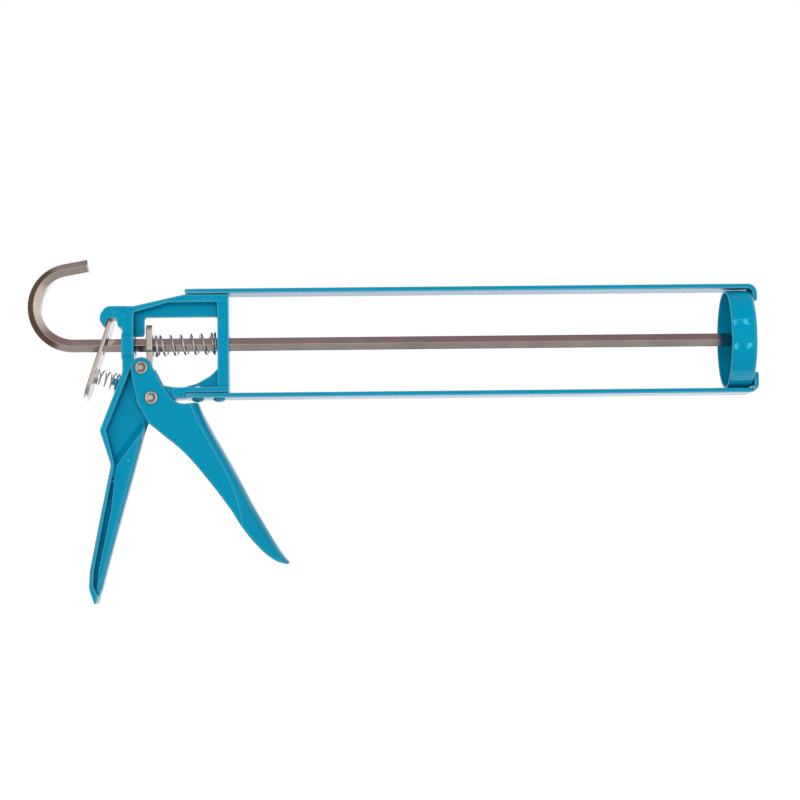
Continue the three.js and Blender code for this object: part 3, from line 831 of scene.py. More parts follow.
class Finishes:
    """Every finish of the gun, each built once."""

    def __init__(self) -> None:
        """Builds the shared effects, then the materials."""
        for build in (build_drift, build_grain, build_handling, build_edge_wear_and_highlight, build_relief, build_peel):
            build()
        teal, deep = (0.0, 0.35, 0.57), (0.0, 0.3, 0.52)
        # The first of these lightens the enamel's edges and ridges, as thin paint and a painted highlight;
        # the second darkens its hollows, as pooled paint and painted shade.
        pale, pooled_shade = (0.2, 0.58, 0.74), (0.0, 0.12, 0.25)
        self.cast = Enamel(
            "enamel_on_casting", Slot.ENAMEL, colour=teal, shade=deep, patch=38.0, drift=0.35,
            smooth=0.12, dull=0.2, thin_and_highlight=pale, pooled_shade=pooled_shade, ridge=0.75, hollow=0.8, rub_and_highlight=0.3,
            ripple=1.2e-6, wave=2e-5).build()
        self.sheet = Enamel(
            "enamel_on_sheet", Slot.ENAMEL, colour=teal, shade=deep, patch=22.0, drift=0.25,
            smooth=0.06, dull=0.12, thin_and_highlight=pale, pooled_shade=pooled_shade, ridge=0.6, hollow=0.6, rub_and_highlight=0.25,
            ripple=0.4e-6, wave=0.8e-5).build()
        self.bar = BrightMetal(
            "plated_bar", Slot.PLATED_BAR, colour=(0.6, 0.55, 0.52), shade=(0.4, 0.35, 0.34),
            patch=60.0, drift=0.5, smooth=0.1, dull=0.24, worn_and_highlit=(0.86, 0.84, 0.8), rub_and_highlight=0.5,
            stretch=(0.05, 1.0, 1.0), grain=1500.0, depth=3e-6).build()
        self.nickel = BrightMetal(
            "nickel_plate", Slot.NICKEL, colour=(0.68, 0.64, 0.6), shade=(0.46, 0.43, 0.42),
            patch=110.0, drift=0.5, smooth=0.12, dull=0.3, worn_and_highlit=(0.93, 0.91, 0.86), rub_and_highlight=0.7,
            stretch=(1.0, 1.0, 0.35), grain=900.0, depth=5e-6).build()
        self.wire = BrightMetal(
            "spring_wire", Slot.SPRING_WIRE, colour=(0.76, 0.75, 0.73), shade=(0.42, 0.4, 0.4),
            patch=160.0, drift=0.5, smooth=0.12, dull=0.28, worn_and_highlit=(0.92, 0.92, 0.9), rub_and_highlight=0.4,
            stretch=(1.0, 0.4, 0.4), grain=1800.0, depth=2e-6).build()
        self.zinc = BrightMetal(
            "zinc_plate", Slot.ZINC_PLATE, colour=(0.7, 0.72, 0.73), shade=(0.5, 0.53, 0.52),
            patch=90.0, drift=0.6, smooth=0.22, dull=0.42, worn_and_highlit=(0.88, 0.89, 0.9), rub_and_highlight=0.6,
            stretch=(1.0, 1.0, 1.0), grain=700.0, depth=6e-6).build()


def dress(piece: bpy.types.Object, coat: Coat, body: Body, *nodes: str) -> None:
    """Gives a finished piece its material, its body and the solids it stands for.

    Args:
        piece: The object.
        coat: Its finish.
        body: The body it moves with.
        nodes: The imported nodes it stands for.
    """
    piece.data.materials.clear()
    piece.data.materials.append(coat.material)
    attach(piece, body.value)
    if nodes:
        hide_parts(*nodes)
    LOG.info("%s: %d faces, on %s", piece.name, len(piece.data.polygons), body.value)


# ------------------------------------------------------------------------------- remeshed bodies


def fused(piece: bpy.types.Object, voxel_mm: float, passes: int) -> None:
    """Rebuilds a mesh as one skin of small even faces and eases its edges, in place.

    Args:
        piece: The object, whose mesh may be several overlapping closed bodies.
        voxel_mm: The size of the faces.
        passes: How many times the points are drawn half way to their neighbours' middle.
    """
    remesh = piece.modifiers.new("skin", "REMESH")
    remesh.mode = "VOXEL"
    remesh.voxel_size = voxel_mm * MM
    ease = piece.modifiers.new("ease", "SMOOTH")
    ease.factor = 0.5
    ease.iterations = passes
    bpy.context.view_layer.update()
    whole = piece.evaluated_get(bpy.context.evaluated_depsgraph_get())
    result = bpy.data.meshes.new_from_object(whole)
    piece.modifiers.clear()
    piece.data = result
    result.polygons.foreach_set("use_smooth", np.ones(len(result.polygons), bool))
    result.update()


def vertex_array(mesh: bpy.types.Mesh, what: str) -> np.ndarray:
    """The places or normals of a mesh's vertices.

    Args:
        mesh: The mesh.
        what: "co" or "normal".

    Returns:
        One row of three numbers for each vertex.
    """
    values = np.zeros(len(mesh.vertices) * 3, np.float32)
    mesh.vertices.foreach_get(what, values)
    return values.reshape(-1, 3).astype(float)


def in_drawing(places: np.ndarray) -> np.ndarray:
    """Places in the row frame as drawing millimetres."""
    return (places - DATUM.place(np.zeros(3))) / MM


def line_distance(points: np.ndarray, line: np.ndarray) -> np.ndarray:
    """How far each point lies from a bent line: the least of its distances to the line's stretches.

    Args:
        points: Rows of two numbers.
        line: The line's corners.

    Returns:
        One distance for each point.
    """
    a, run = line[:-1], np.diff(line, axis=0)
    away = points[:, None] - a[None]
    share = np.clip((away * run).sum(-1) / (run * run).sum(-1), 0, 1)
    return np.linalg.norm(away - share[..., None] * run, axis=-1).min(1)


@dataclass
class CastBody:
    """The die-cast body and grip: its solid given soft edges, hollows and a parting line."""

    voxel: float = 0.5
    passes: int = 4
    groove_half: float = 3.0
    groove: Line = (
        (-58.5, -61.5), (-61.6, -61.5), (-62, -66), (-66.5, -88.2), (-72.3, -119.2),
        (-72.6, -128), (-70.3, -134.5), (-68.5, -131), (-68, -119), (-61.5, -88))
    tip_half: float = 4.8
    tip: Line = (
        (-71.9, -129), (-71.2, -135), (-70.8, -136.6), (-69.6, -134.4), (-68.2, -130.5), (-68.4, -127))
    crest: Line = ((-44.7, -44.4), (-59.9, -65.1))
    crest_half: float = 5.4
    corner: Line = (
        (-44.7, -44.5), (-46.0, -49.5), (-47.9, -56), (-51, -54), (-47, -47))
    foot: Line = ((-45.4, -39.1), (-60.5, -59.9))
    foot_half: float = 1.45
    boss: Pair = (-53.4, -61.6)
    boss_radius: float = 1.4
    boss_height: float = 0.95
    moat_radius: float = 2.1
    moat_depth: float = 0.5
    marks: Line = (
        (-51.0, -35.6), (-69.2, -118.0), (-64.5, -47.5), (-12.8, 23.7), (-8.8, 25.0), (-60.2, 17.0),
        (-55.6, 15.0), (-7.9, -12.2), (-7.2, -19.6), (-32.8, -26.9), (-28.0, -27.7))
    mark_radius: float = 0.6
    mark_height: float = 0.35
    finger_edge: Line = (
        (-46.2, -50.7), (-52, -72), (-56.7, -88.7), (-63.6, -113.8), (-67.5, -128.7))
    finger_round: float = 2.2
    pad_half: float = 5.5
    seam_half: float = 0.45
    seam_height: float = 0.12
    seam_top: float = -30.0
    fillet_edge: float = 0.1
    face_lean: float = 0.7
    rim_lean: float = 0.3
    weld: float = 0.00001

    def build(self, finishes: Finishes) -> None:
        """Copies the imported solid, fuses it with its fillets and works small features into the skin.

        Args:
            finishes: The gun's finishes.
        """
        solid = frame["nodes"]["cast_body"]
        piece = bpy.data.objects.new("body_casting", solid.data.copy())
        bpy.context.scene.collection.objects.link(piece)
        bm = bmesh.new()
        bm.from_mesh(piece.data)
        bmesh.ops.remove_doubles(bm, verts=bm.verts, dist=self.weld)
        fillets = bpy.data.meshes.new("fillets")
        added = self.fillets()
        fillets.from_pydata(DATUM.place(added.points).tolist(), [], added.faces)
        bm.from_mesh(fillets)
        bm.to_mesh(piece.data)
        bm.free()
        bpy.data.meshes.remove(fillets)
        fused(piece, self.voxel, self.passes)
        self.work(piece.data)
        dress(piece, finishes.cast, Body.FRAME, "cast_body")

    def fillets(self) -> Surface:
        """The groove's raised floor, the closed tip, and the slope up to the pad as a wedge.

        Returns:
            The closed solids that are fused into the casting.
        """
        groove, tip, pad = (
            prism(np.array(outline), -half, half, self.fillet_edge)
            for outline, half in ((self.groove, self.groove_half), (self.tip, self.tip_half),
                                  (self.corner, self.crest_half)))
        corners = [(x, half * side, z) for side in (-1, 1)
                   for line, half in ((self.crest, self.crest_half), (self.foot, self.foot_half))
                   for x, z in line]
        faces = [[0, 1, 3, 2], [4, 6, 7, 5], [0, 4, 5, 1], [2, 3, 7, 6], [0, 2, 6, 4], [1, 5, 7, 3]]
        return groove.joined(tip, pad, Surface(np.array(corners), faces).outward())

    def work(self, mesh: bpy.types.Mesh) -> None:
        """Moves points: the pad's rounded finger edge, a boss in its moat, drips and the parting line.

        The pad's half thickness is held below half - r + sqrt(r^2 - (r - d)^2) at distance d from its
        edge. Each round feature moves a point along its normal by height * exp(-(distance / radius)^2).
        The parting line lifts the points of outer edges near the middle plane by a cosine.

        Args:
            mesh: The fused mesh.
        """
        co, normal = vertex_array(mesh, "co"), vertex_array(mesh, "normal")
        local = in_drawing(co)
        facing = np.abs(normal[:, 1]) > self.face_lean
        r = self.finger_round
        away = np.minimum(line_distance(local[:, [0, 2]], np.array(self.finger_edge)), r)
        limit = self.pad_half - r + np.sqrt(r * r - (r - away) ** 2)
        held = np.sign(local[:, 1]) * np.minimum(np.abs(local[:, 1]), limit)
        co[:, 1] = np.where(away < r, held * MM, co[:, 1])
        move = np.zeros(len(co))
        for (x, z), radius, height in (
            (self.boss, self.boss_radius, self.boss_height),
            (self.boss, self.moat_radius, -self.moat_depth),
            *((mark, self.mark_radius, self.mark_height) for mark in self.marks),
        ):
            away = np.hypot(local[:, 0] - x, local[:, 2] - z)
            move += np.where(facing, height * np.exp(-((away / radius) ** 2)), 0)
        seam = np.clip(1 - np.abs(local[:, 1]) / self.seam_half, 0, 1)
        grip = (np.abs(normal[:, 1]) < self.rim_lean) & (local[:, 2] < self.seam_top)
        move += np.where(grip, self.seam_height * (1 - np.cos(math.pi * seam)) / 2, 0)
        co += normal * move[:, None] * MM
        mesh.vertices.foreach_set("co", co.ravel())
        mesh.update()


# ------------------------------------------------------------------------------- straps and cup


@dataclass
class Straps:
    """The two flat steel straps, their rivets, and the lips that hold the cup."""

    inner: float = 26.5
    thick: float = 2.5
    half_width: float = 10.0
    rear: float = -23.1
    front: float = 280.8
    bend: float = 5.0
    lips: Pair = (19.9, 18.3)
    edge: float = 0.75
    rivets: Pair = (-16.9, -5.6)
    head: float = 3.2
    bend_gap: float = 0.5
    end_reach: float = 0.55
    end_draw: float = 0.45
    end_steps: tuple[float, ...] = (0.0, 0.12, 0.35, 0.7)
    flat_rows: int = 41
    bend_steps: int = 14
    lip_rows: int = 5

    def path(self, lip: float) -> tuple[np.ndarray, np.ndarray]:
        """The middle line of a strap: straight, a quarter bend, then down over the cup.

        Args:
            lip: How near the rod's axis the bent end comes.

        Returns:
            Points (X, Z) above the rod, and the outward direction at each.
        """
        middle = self.inner + self.thick / 2
        radius = self.bend - self.thick / 2
        corner = np.array([self.front - self.bend, middle - radius])
        bent = corner + arc(radius, 90, 0, self.bend_steps)
        flat = np.stack([np.linspace(self.rear, corner[0] - self.bend_gap, self.flat_rows),
                         np.full(self.flat_rows, middle)], -1)
        down = np.stack([np.full(self.lip_rows, self.front - self.thick / 2),
                         np.linspace(corner[1] - self.bend_gap, lip, self.lip_rows)], -1)
        out = np.concatenate([np.tile([[0.0, 1.0]], (self.flat_rows, 1)),
                              arc(1, 90, 0, self.bend_steps),
                              np.tile([[1.0, 0.0]], (self.lip_rows, 1))])
        return np.concatenate([flat, bent, down]), out

    def strap(self, name: str, side: int, lip: float) -> Surface:
        """A rounded flat section carried along the strap, drawn in by a quarter circle at both ends.

        Args:
            name: The piece's name; not used.
            side: 1 above the rod, -1 below it.
            lip: How near the axis its lip ends.

        Returns:
            The strap.
        """
        line, out = self.path(lip)
        half = self.thick / 2
        section = round_corners([
            (-half, -self.half_width, self.edge), (half, -self.half_width, self.edge),
            (half, self.half_width, self.edge), (-half, self.half_width, self.edge)], 5, 0.25)
        steps = np.array(self.end_steps)
        count = len(steps)
        first, last = line[1] - line[0], line[-1] - line[-2]
        away = steps[:, None] * self.end_reach
        line = np.concatenate([
            line[0] + away * first / np.linalg.norm(first), line[1:-1],
            line[-1] - away[::-1] * last / np.linalg.norm(last)])
        out = np.concatenate([np.tile(out[:1], (count, 1)), out[1:-1], np.tile(out[-1:], (count, 1))])
        share = np.concatenate([steps, np.ones(len(line) - 2 * count), steps[::-1]])
        shrink = self.end_draw * (1 - np.sqrt(1 - (1 - share) ** 2))
        sections = section[None] * (1 - shrink[:, None, None] / np.array([half, self.half_width]))
        flip = np.array([1, side])
        path = np.insert(line * flip, 1, 0.0, axis=1)
        normal = np.insert(out * flip, 1, 0.0, axis=1)
        return carried(sections, path, normal, np.tile(ACROSS, (len(path), 1)))

    def rivet(self, x: float, side: int) -> Surface:
        """A rivet head: a low painted disc above, a round dome below, both about a vertical axis.

        Args:
            x: Where it stands along the gun.
            side: 1 for the top strap, -1 for the bottom one.

        Returns:
            The head.
        """
        outer = self.inner + self.thick
        if side > 0:
            profile = np.array([
                [0.01, -0.5], [self.head, -0.5], [self.head, -0.02], [self.head - 0.15, 0.1],
                [self.head - 0.5, 0.16], [1.2, 0.12], [0.01, 0.1]])
        else:
            a = np.radians(np.linspace(4, 89.5, 18))
            dome = np.stack([self.head * np.cos(a), 0.12 + 1.6 * np.sin(a)], -1)
            profile = np.concatenate([[[0.01, -0.4], [self.head - 0.1, -0.4], [self.head, 0.05]], dome])
        return turned(profile, UP * side, np.array([x, 0, outer * side]), 56)

    def build(self, finishes: Finishes) -> None:
        """Builds both straps and their four rivets.

        Args:
            finishes: The gun's finishes.
        """
        for name, side, lip in (("top_strap", 1, self.lips[0]), ("bottom_strap", -1, self.lips[1])):
            bar = self.strap(name, side, lip).piece(name + "_steel", 40)
            dress(bar, finishes.sheet, Body.FRAME, name)
            for place, x in zip(("rear", "front"), self.rivets):
                head = self.rivet(x, side).piece(f"{name}_head_{place}")
                dress(head, finishes.sheet, Body.FRAME, f"{name}_rivet_{place}")


@dataclass
class FrontCup:
    """The pressed cup: a slightly crowned band, a rolled front corner and a hole for the nozzle."""

    radius: float = 26.2
    wall: float = 1.0
    rear: float = 264.4
    front: float = 278.0
    corner: float = 2.0
    nozzle: float = 13.0
    bead: float = 0.5
    crown: float = 105.0
    crown_middle: float = 270.5

    def build(self, finishes: Finishes) -> None:
        """Turns the cup's wall about the rod's axis; the band's radius falls as (x - middle)^2 / 2R.

        Args:
            finishes: The gun's finishes.
        """
        x = np.linspace(self.rear + 0.4, self.front - self.corner, 14)
        band = np.stack([self.radius - (x - self.crown_middle) ** 2 / (2 * self.crown), x], -1)
        shoulder = band[-1, 0] - self.corner
        turn = arc(self.corner, 0, 90, 12) + [shoulder, self.front - self.corner]
        r = np.linspace(shoulder - 0.5, self.nozzle + 0.4, 40)
        share = (r - self.nozzle) / (self.radius - self.nozzle)
        dip = -self.bead * np.sin(np.clip((share - 0.25) / 0.5, 0, 1) * math.pi) ** 2
        face = np.stack([r, self.front + dip], -1)
        lip = arc(0.5, 90, 270, 8) * [0.8, 1] + [self.nozzle + 0.4, self.front - 0.5]
        back = np.stack([r[::-1], self.front - self.wall + dip[::-1]], -1)
        inner_corner = [self.radius - self.corner, self.front - self.corner]
        inside = arc(self.corner - self.wall, 90, 0, 8) + inner_corner
        rim = arc(0.5, 180, 360, 8) * [1, 0.8] + [self.radius - 0.5, self.rear + 0.4]
        bore = np.stack([np.full_like(x, self.radius - self.wall), x[::-1]], -1)
        profile = np.concatenate([band, turn[1:], face, lip, back, inside, bore[1:-1], rim[:-1]])
        cup = turned(profile, ALONG, np.zeros(3), 192).piece("front_cup_pressing", 50)
        dress(cup, finishes.sheet, Body.FRAME, "front_cup")


# ------------------------------------------------------------------------------- trigger


@dataclass
class Trigger:
    """The pressed lever: two flat cheeks that run into a rounded channel and a spoon."""

    half_width: float = 10.9
    sheet: float = 1.6
    edge: float = 0.5
    lobe: float = 5.7
    voxel: float = 0.45
    passes: int = 9
    crease_stations: int = 6
    crease_height: float = 0.3
    crease_width: float = 0.5
    # Each station: front x and z, rear x and z, share of the width, depth of the rounding.
    stations: tuple[tuple[float, ...], ...] = (
        (-16.4, -31.1, -23.9, -32.2, 1, 4.6), (-10.5, -43.4, -18.1, -46.2, 1, 4.6),
        (0.6, -63.2, -8.2, -67.2, 1, 4.8), (6.4, -74, -3.2, -79, 1, 5.4),
        (11.8, -84.7, 2, -90.3, 1, 7.4), (16.6, -93.2, 7, -98.4, 0.99, 10.9),
        (21, -100.8, 12.4, -105.2, 0.97, 9.6), (25.4, -108, 18.6, -111.6, 0.9, 7.6),
        (29, -113.1, 24.6, -115.6, 0.76, 5), (31.6, -116.2, 29.8, -117.2, 0.42, 2),
    )

    def channel(self) -> Surface:
        """The web: at each station a U whose front is half an ellipse, one sheet thick.

        Returns:
            The channel from below the cheeks to the spoon's tip.
        """
        s = smooth_through(np.array(self.stations), 12)
        front, rear = s[:, 0:2], s[:, 2:4]
        back = rear - front
        depth = np.linalg.norm(back, axis=1, keepdims=True)
        back /= depth
        a = np.radians(np.linspace(-90, 90, 49))[None]
        loops = []
        for inset in (0.0, self.sheet):
            half = np.maximum(self.half_width * s[:, 4:5] - inset, 0.2)
            drop = np.minimum(s[:, 5:6], depth) - inset * 0.4
            along = np.concatenate([depth, inset + drop * (1 - np.cos(a)), depth], 1)
            side = np.concatenate([-half, half * np.sin(a), half], 1)
            along = np.minimum(along, depth)
            loops.append((along, side))
        along = np.concatenate([loops[0][0], loops[1][0][:, ::-1]], 1)
        side = np.concatenate([loops[0][1], loops[1][1][:, ::-1]], 1)
        grid = np.stack([
            front[:, :1] + back[:, :1] * along, side, front[:, 1:] + back[:, 1:] * along], -1)
        return Surface.from_grid(grid, wrap_rows=False, caps=True)

    def cheek_outline(self) -> np.ndarray:
        """A cheek seen from the side: a round lobe, a broad waist and a thin foot.

        Returns:
            The closed outline.
        """
        lobe = arc(self.lobe, 25, 185, 40) + np.array(DRIVE_PIN)
        rear = smooth_through(np.array(
            [lobe[-1], (-51.1, -18.5), (-49.5, -26.1), (-47.3, -33.1), (-42.4, -42.3)]), 10)
        under = smooth_through(np.array(
            [(-42.4, -42.3), (-36.5, -47.2), (-23.5, -58.2), (-9.7, -74.5), (2, -90.3)]), 14)
        front = smooth_through(np.array(
            [(6.6, -88.4), (1.6, -74), (-3.4, -63.4), (-14.4, -44.6), (-20.6, -31.7)]), 14)
        t = np.linspace(0, 1, 12)[:, None]
        notch = ((1 - t) ** 2 * np.array([-22.8, -31.9]) + 2 * t * (1 - t) * np.array([-27.6, -32.2])
                 + t**2 * np.array([-30.6, -28.6]))
        return np.concatenate([lobe[:-1], rear[:-1], under, front, notch, [[-34.9, -22.4]]])

    def crease(self, mesh: bpy.types.Mesh) -> None:
        """Raises a line where the flat cheek meets the channel: height * exp(-(distance / width)^2).

        Args:
            mesh: The fused mesh.
        """
        s = smooth_through(np.array(self.stations[:self.crease_stations]), 8)
        back = s[:, 2:4] - s[:, 0:2]
        back /= np.linalg.norm(back, axis=1, keepdims=True)
        line = s[:, 0:2] + back * s[:, 5:6]
        co, normal = vertex_array(mesh, "co"), vertex_array(mesh, "normal")
        local = in_drawing(co)
        away = line_distance(local[:, [0, 2]], line)
        lift = self.crease_height * np.exp(-((away / self.crease_width) ** 2))
        outside = (np.abs(normal[:, 1]) > 0.5) & (normal[:, 1] * local[:, 1] > 0)
        co += normal * np.where(outside, lift, 0)[:, None] * MM
        mesh.vertices.foreach_set("co", co.ravel())
        mesh.update()

    def build(self, finishes: Finishes) -> None:
        """Fuses the cheeks and the channel to one pressing and raises its crease.

        Args:
            finishes: The gun's finishes.
        """
        outline = self.cheek_outline()
        inner = self.half_width - self.sheet
        whole = self.channel().joined(
            prism(outline, -self.half_width, -inner, self.edge),
            prism(outline, inner, self.half_width, self.edge))
        piece = whole.piece("trigger_pressing")
        fused(piece, self.voxel, self.passes)
        self.crease(piece.data)
        dress(piece, finishes.sheet, Body.TRIGGER, "trigger")


@dataclass
class Pin:
    """A tubular rivet across the gun, its ends rolled over into bright rings."""

    name: str
    node: str
    at: Pair
    body: Body
    reach: float = 11.2
    head: float = 3.45
    head_thick: float = 1.2
    cup: float = 2.05
    cup_depth: float = 1.15
    cup_rim: float = 0.12
    roll: float = 0.55
    shank: float = 2.2

    def build(self, finishes: Finishes) -> None:
        """Turns the pin: concave end, rolled ring, head and shank, the same on both ends.

        Args:
            finishes: The gun's finishes.
        """
        top = self.reach + self.head_thick
        r = np.linspace(0.01, 1, 14)
        floor = np.stack([r * self.cup, top - self.cup_rim - self.cup_depth * (1 - r**6)], -1)
        middle = (self.cup + self.head) / 2
        roll = arc(1.0, 165, 5, 16) * [(self.head - self.cup) / 2, self.roll] + [middle, top - self.roll]
        half = np.concatenate([floor, roll, [[self.head, self.reach + 0.05], [self.shank, self.reach]]])
        profile = np.concatenate([half, half[::-1] * [1, -1]])
        pin = turned(profile, ACROSS, np.array([self.at[0], 0, self.at[1]]), 96)
        dress(pin.piece(self.name, 40), finishes.nickel, self.body, self.node)


# ------------------------------------------------------------------------------- plates and springs


@dataclass
class Plates:
    """The drive plate and the leaning brake plate, stamped from thick strip."""

    drive_rear: float = -43.6
    drive_thick: float = 3.3
    drive_edge: float = 0.45
    rod_hole: float = 4.6
    brake_pivot: Pair = (-62.35, 13.2)
    brake_tilt: float = 18.3
    brake_thick: float = 2.2
    brake_half_width: float = 9.5
    brake_length: float = 44.6
    brake_hole: float = 5.3
    brake_drop: float = 0.35
    brake_edge: float = 0.5

    def drive(self) -> Surface:
        """The drive plate: broad above, narrow where it passes between the cheeks.

        Returns:
            The closed plate.
        """
        outline = round_corners([
            (-10.4, 10.1, 3.5), (-10.4, -3.9, 0.8), (-7.6, -3.9, 0.5), (-7.6, -19, 1.5), (7.6, -19, 1.5),
            (7.6, -3.9, 0.5), (10.4, -3.9, 0.8), (10.4, 10.1, 3.5)], 8)
        centre = np.array([self.drive_rear + self.drive_thick / 2, 0, 0])
        return Plate(outline, self.drive_thick, self.rod_hole, self.drive_edge).surface(centre, ACROSS, UP)

    def brake(self) -> Surface:
        """The brake plate, leaned back about its notch by its tilt.

        Returns:
            The closed plate.
        """
        tilt = math.radians(self.brake_tilt)
        hung = self.brake_drop - self.brake_pivot[1] / math.cos(tilt)
        wide, low = self.brake_half_width, -self.brake_length
        outline = round_corners([
            (-wide, 0, 2), (-wide, low, wide - 0.6), (wide, low, wide - 0.6), (wide, 0, 2)], 16)
        outline[:, 1] -= hung
        up = np.array([math.sin(tilt), 0, math.cos(tilt)])
        centre = np.array([self.brake_pivot[0], 0, self.brake_pivot[1]]) + up * hung
        return Plate(outline, self.brake_thick, self.brake_hole, self.brake_edge).surface(centre, ACROSS, up)

    def build(self, finishes: Finishes) -> None:
        """Builds both plates.

        Args:
            finishes: The gun's finishes.
        """
        drive = self.drive().piece("drive_plate_stamping", 40)
        dress(drive, finishes.nickel, Body.DRIVE_PLATE, "drive_plate")
        brake = self.brake().piece("brake_plate_stamping", 40)
        dress(brake, finishes.nickel, Body.BRAKE_PLATE, "brake_plate")


@dataclass
class Spring:
    """A compression spring of round wire with closed end turns."""

    name: str
    node: str
    start: Pair
    end: Pair
    radius: float
    wire: float
    closed: float
    closed_pitch: float
    open_turns: float
    phase: float
    hand: int
    joint: str
    keep: float
    steps_per_turn: int = 56
    blur: int = 4

    def surface(self) -> Surface:
        """Wire carried along a helix: start + a*axis + r*(sin t*side + cos t*up).

        The distance a grows by the closed pitch in the end turns and evenly between them.

        Returns:
            The coil with capped ends.
        """
        start = np.array([self.start[0], 0, self.start[1]])
        axis = np.array([self.end[0], 0, self.end[1]]) - start
        length = np.linalg.norm(axis)
        axis /= length
        side = -self.hand * ACROSS
        up = np.cross(axis, ACROSS)
        turns = 2 * self.closed + self.open_turns
        t = np.linspace(0, turns, int(turns * self.steps_per_turn))
        run = self.closed * self.closed_pitch
        knots = [0, self.closed, self.closed + self.open_turns, turns]
        along = np.interp(t, knots, [0, run, length - run, length])
        window = np.ones(2 * self.blur + 1) / (2 * self.blur + 1)
        padded = np.pad(along, self.blur, mode="reflect", reflect_type="odd")
        along = np.convolve(padded, window, "valid")
        a = ((t - self.phase) * TAU)[:, None]
        out = np.sin(a) * side + np.cos(a) * up
        path = start + along[:, None] * axis + self.radius * out
        tangent = np.gradient(path, axis=0)
        tangent /= np.linalg.norm(tangent, axis=1, keepdims=True)
        other = np.cross(tangent, out)
        other /= np.linalg.norm(other, axis=1, keepdims=True)
        normal = np.cross(other, tangent)
        return carried(arc(self.wire, 0, 337.5, 15), path, normal, other)

    def build(self, finishes: Finishes) -> None:
        """Builds the spring.

        Args:
            finishes: The gun's finishes.
        """
        piece = self.surface().piece(self.name, 60)
        dress(piece, finishes.wire, Body.FRAME, self.node)
        ends = DATUM.place(np.array([[*self.start], [*self.end]])[:, [0, 0, 1]] * [1, 0, 1])
        axis = ends[1] - ends[0]
        axis /= np.linalg.norm(axis)
        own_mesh(piece)


# ------------------------------------------------------------------------------- rod and plunger


@dataclass
class PushRod:
    """The hexagonal bar, its pull hook and its threaded end."""

    flats: float = 7.0
    corner: float = 0.5
    twist: float = 5.5
    hook_twist: float = 8.5
    shoulder: float = 271.6
    bend_start: float = -82.4
    low_radius: float = 20.95
    high_radius: float = 19.45
    rise: float = 10.5
    tip: float = 13.0
    thread_radius: float = 3.0
    thread_end: float = 279.9
    thread_pitch: float = 1.0
    thread_depth: float = 0.45
    straight_rows: int = 60
    bend_gap: float = 0.7
    tip_rows: Line = ((1.0, 12.0), (1.0, 9.0), (1.0, 5.0), (1.0, 0.7), (0.93, 0.15), (0.84, 0.0))
    shoulder_size: float = 0.95

    def path(self) -> tuple[np.ndarray, np.ndarray]:
        """The bar's middle line from its shoulder back to the hook's tip.

        Returns:
            The points, and at each the direction square to the line in the hook's plane.
        """
        rows = self.straight_rows
        level = np.linspace(self.shoulder, self.bend_start + self.bend_gap, rows)
        straight = np.stack([level, np.zeros(rows)], -1)
        low = arc(self.low_radius, -90, -180, 44) + [self.bend_start, self.low_radius]
        shift = self.bend_start - self.low_radius + self.high_radius
        high = arc(self.high_radius, -180, -270 + self.rise, 44) + [shift, self.low_radius]
        on = np.array([math.cos(math.radians(self.rise)), math.sin(math.radians(self.rise))])
        far = self.tip - np.array(self.tip_rows)[:, 1]
        end = high[-1] + np.outer(far, on)
        line = np.concatenate([straight, low, high[1:], end])
        run = np.gradient(line, axis=0)
        run /= np.linalg.norm(run, axis=1, keepdims=True)
        run[:rows] = [-1, 0]
        run[-len(far):] = on
        path = np.insert(line, 1, 0.0, axis=1)
        return path, np.stack([-run[:, 1], np.zeros(len(run)), run[:, 0]], -1)

    def bar(self) -> Surface:
        """A hexagon with eased corners carried along the line, drawn in at the tip and shoulder.

        It turns from the bar's twist to the hook's along the bend. Each of tip_rows is a share of the
        section's size and how far it lies from the tip.

        Returns:
            The closed bar.
        """
        path, square = self.path()
        hexagon = round_corners(hexagon_corners(self.flats, self.corner), 4, 0.3)
        count = len(path)
        rows = self.straight_rows
        twist = np.interp(np.arange(count), [rows, 2 * rows], [self.twist, self.hook_twist])
        c, s = np.cos(np.radians(twist))[:, None], np.sin(np.radians(twist))[:, None]
        x = hexagon[None, :, 0] * c - hexagon[None, :, 1] * s
        y = hexagon[None, :, 0] * s + hexagon[None, :, 1] * c
        drawn = np.array(self.tip_rows)[:, 0]
        share = np.concatenate([[self.shoulder_size], np.ones(count - len(drawn) - 1), drawn])
        sections = np.stack([x, y], -1) * share[:, None, None]
        return carried(sections, path, square, np.tile(ACROSS, (count, 1)))

    def thread(self) -> Surface:
        """The threaded neck: radius less depth * |saw(height / pitch - angle / turn)|.

        Returns:
            The closed neck, narrower at its end.
        """
        rows = np.linspace(self.shoulder - 0.5, self.thread_end, 130)
        a = np.arange(64) / 64
        height, angle = np.meshgrid(rows, a, indexing="ij")
        saw = (height / self.thread_pitch - angle) % 1
        cut = np.abs(2 * saw - 1) * self.thread_depth
        fade = np.clip((self.thread_end - height) / 0.7, 0, 1)
        radius = (self.thread_radius - cut) * (0.82 + 0.18 * fade)
        grid = np.stack([height, radius * np.cos(angle * TAU), radius * np.sin(angle * TAU)], -1)
        return Surface.from_grid(grid, wrap_rows=False, caps=True)

    def build(self, finishes: Finishes) -> None:
        """Builds the bar and its thread.

        Args:
            finishes: The gun's finishes.
        """
        bar = self.bar().piece("push_rod_bar", 24)
        dress(bar, finishes.bar, Body.ROD, "push_rod")
        dress(self.thread().piece("push_rod_thread", 60), finishes.bar, Body.ROD)


